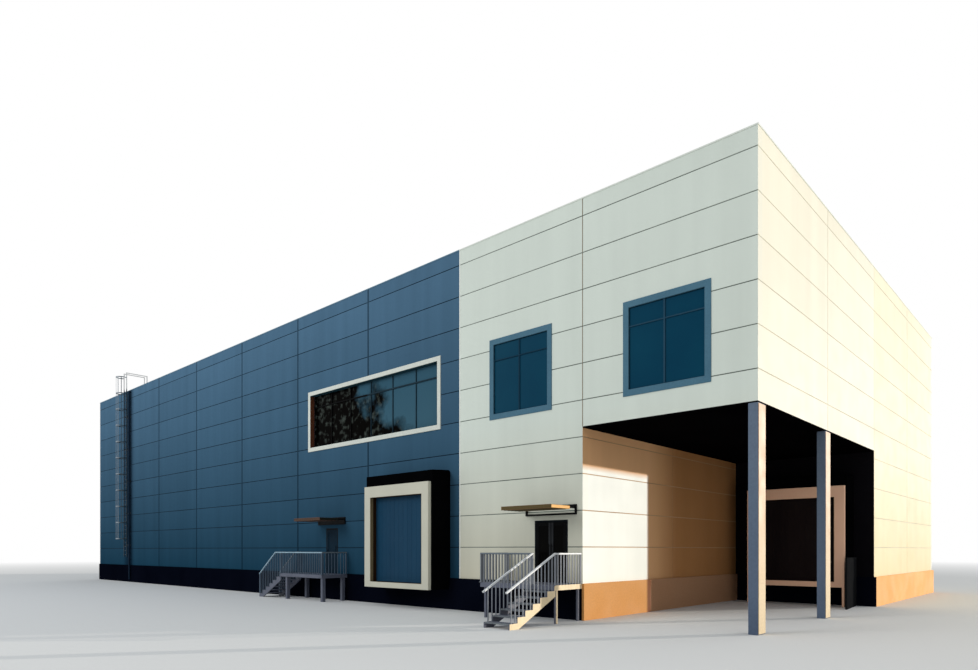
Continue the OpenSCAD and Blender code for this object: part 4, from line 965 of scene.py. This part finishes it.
roofLook = {"top": 6.68, "edge": 0.151, "upstand": 0.14, "sunk": 0.002, "sheet": 0.005}
lapLook = {"wide": 0.09, "high": 0.008, "gap": 1.95, "first": -25.4, "count": 13, "end": 0.152, "up": 0.001,
           "edge": 0.002}
level = roofLook["top"] + lapLook["up"]
lap = beam("lap", spot(lapLook["first"], lapLook["end"], level),
           spot(lapLook["first"], deepAll - lapLook["end"], level), lapLook)
repeat(lap, lapLook["count"], (lapLook["gap"], 0, 0))
curb = box("curb", spot(roofLook["edge"] - 9 * bay, roofLook["edge"], roofLook["top"] - roofLook["sunk"]),
           spot(-roofLook["edge"], deepAll - roofLook["edge"], roofLook["top"] + roofLook["upstand"]))
thicken(cutAway(curb, lambda at, normal: abs(normal.z) > squareOn), roofLook["sheet"], -1)
settle([lap, curb], "roof_laps_and_curb", "roof_membrane_lap")

strapLook = {"half": 0.025, "front": -0.0095, "back": 0.151, "low": 6.879, "high": 6.9015, "edge": 0.001,
             "count": 8}
strap = box("strap", spot(-strapLook["half"] - bay, strapLook["front"], strapLook["low"]),
            spot(strapLook["half"] - bay, strapLook["back"], strapLook["high"]))
frontStraps = repeat(soften(strap, strapLook["edge"], 1), strapLook["count"], (-bay, 0, 0))
rearStraps = twin(frontStraps, (0, deepAll - strapLook["back"] - strapLook["front"], 0))
settle([frontStraps, rearStraps], "coping_straps", "wall_capping")

wallPlate = {"rails": (-23.525, -23.275), "first": 1.3, "gap": 1.154, "count": 5, "half": 0.03, "below": 0.02,
             "above": 0.045, "out": -0.005, "seat": 0.0005, "rim": 0.006, "rise": 0.002, "edge": 0.001}
wallPlates = []
for step in range(wallPlate["count"]):
    z = wallPlate["first"] + wallPlate["gap"] * step
    for x in wallPlate["rails"]:
        low = spot(x - wallPlate["half"], wallPlate["out"], z - wallPlate["below"])
        high = spot(x + wallPlate["half"], wallPlate["seat"], z + wallPlate["above"])
        wallPlates.append(rimmed("plate", low, high, lambda at, normal: normal.y < -squareOn, wallPlate))
settle(wallPlates, "ladder_wall_plates", "ladder_steel_dark")
print("stage 11: roof and ladder fixings")


def hang(name, data, at, turn):
    holder = bpy.data.objects.new(name, data)
    bpy.context.scene.collection.objects.link(holder)
    holder.location = at
    holder.rotation_euler = turn
    return holder


def lookAlong(direction):
    return direction.to_track_quat("-Z", "Y").to_euler()


camera = {"at": (16.833, -13.657, 1.155), "turn": 39.86, "lens": 24.395, "shift": (-0.0616, 0.2195),
          "sensor": 36, "reach": 500}
lens = bpy.data.cameras.new("camera")
lens.lens = camera["lens"]
lens.sensor_width = camera["sensor"]
lens.shift_x, lens.shift_y = camera["shift"]
lens.clip_end = camera["reach"]
bpy.context.scene.camera = hang("camera", lens, camera["at"], (math.pi / 2, 0, math.radians(camera["turn"])))

keyLamp = {"from": (0.605, 0.795, 0.122), "at": (20, 27, 9), "spread": 0.5, "strength": 3.15,
           "tone": (1, 0.93, 0.83)}
sunBulb = bpy.data.lights.new("key", "SUN")
sunBulb.energy = keyLamp["strength"]
sunBulb.angle = math.radians(keyLamp["spread"])
sunBulb.color = keyLamp["tone"]
hang("key", sunBulb, keyLamp["at"], lookAlong(-Vector(keyLamp["from"])))

fillLamp = {"at": (-5, -34, 17), "aim": (1, 0, 2), "size": 16, "power": 3900, "tone": (0.95, 0.98, 1)}
fillBulb = bpy.data.lights.new("fill", "AREA")
fillBulb.shape = "DISK"
fillBulb.size = fillLamp["size"]
fillBulb.energy = fillLamp["power"]
fillBulb.color = fillLamp["tone"]
fillTurn = lookAlong(Vector(fillLamp["aim"]) - Vector(fillLamp["at"]))
fillHolder = hang("fill", fillBulb, fillLamp["at"], fillTurn)
fillHolder.visible_camera = False
fillHolder.visible_glossy = False


def mixShaders(kit, out, factor, first, second):
    mix = newNode(kit, "MixShader")
    for socket, value in (("Fac", factor), (1, first), (2, second)):
        feed(kit, mix.inputs[socket], value)
    feed(kit, out.inputs["Surface"], mix.outputs["Shader"])


# the camera and the glass see white, and the walls are lit by a bluer sky
air = {"tone": (0.93, 0.97, 1.0), "strength": 0.64, "seen": (1, 1, 1)}
world = bpy.data.worlds.new("studio")
bpy.context.scene.world = world
sky = newKit(world)
seen, lit = newNode(sky, "Background"), newNode(sky, "Background")
feed(sky, seen.inputs["Color"], air["seen"])
feed(sky, lit.inputs["Color"], air["tone"])
feed(sky, lit.inputs["Strength"], air["strength"])
rays = newNode(sky, "LightPath").outputs
direct = mathOf(sky, "MAXIMUM", rays["Is Camera Ray"], rays["Is Glossy Ray"])
direct = mathOf(sky, "MAXIMUM", direct, rays["Is Transmission Ray"])
mixShaders(sky, newNode(sky, "OutputWorld"), direct, lit.outputs["Background"], seen.outputs["Background"])

ground = {"size": 400, "tone": (0.74, 0.74, 0.735), "fadeSpan": (22, 60)}
floor = sheet("floor", (0, 0, 0), (ground["size"], ground["size"]), "up")
floorPaint = bpy.data.materials.new("floor")
stone = newKit(floorPaint)
flat, bright, reach = newNode(stone, "BsdfDiffuse"), newNode(stone, "Emission"), newNode(stone, "VectorMath")
feed(stone, flat.inputs["Color"], ground["tone"])
reach.operation = "LENGTH"
feed(stone, reach.inputs[0], newNode(stone, "TexCoord").outputs["Object"])
cameraRay = newNode(stone, "LightPath").outputs["Is Camera Ray"]
fade = mathOf(stone, "MULTIPLY", rangeOf(stone, reach.outputs["Value"], ground["fadeSpan"]), cameraRay)
mixShaders(stone, newNode(stone, "OutputMaterial"), fade, flat.outputs["BSDF"], bright.outputs["Emission"])
floor.data.materials.append(floorPaint)
bpy.context.scene.view_settings.view_transform = "Standard"
print("stage last: camera and light")
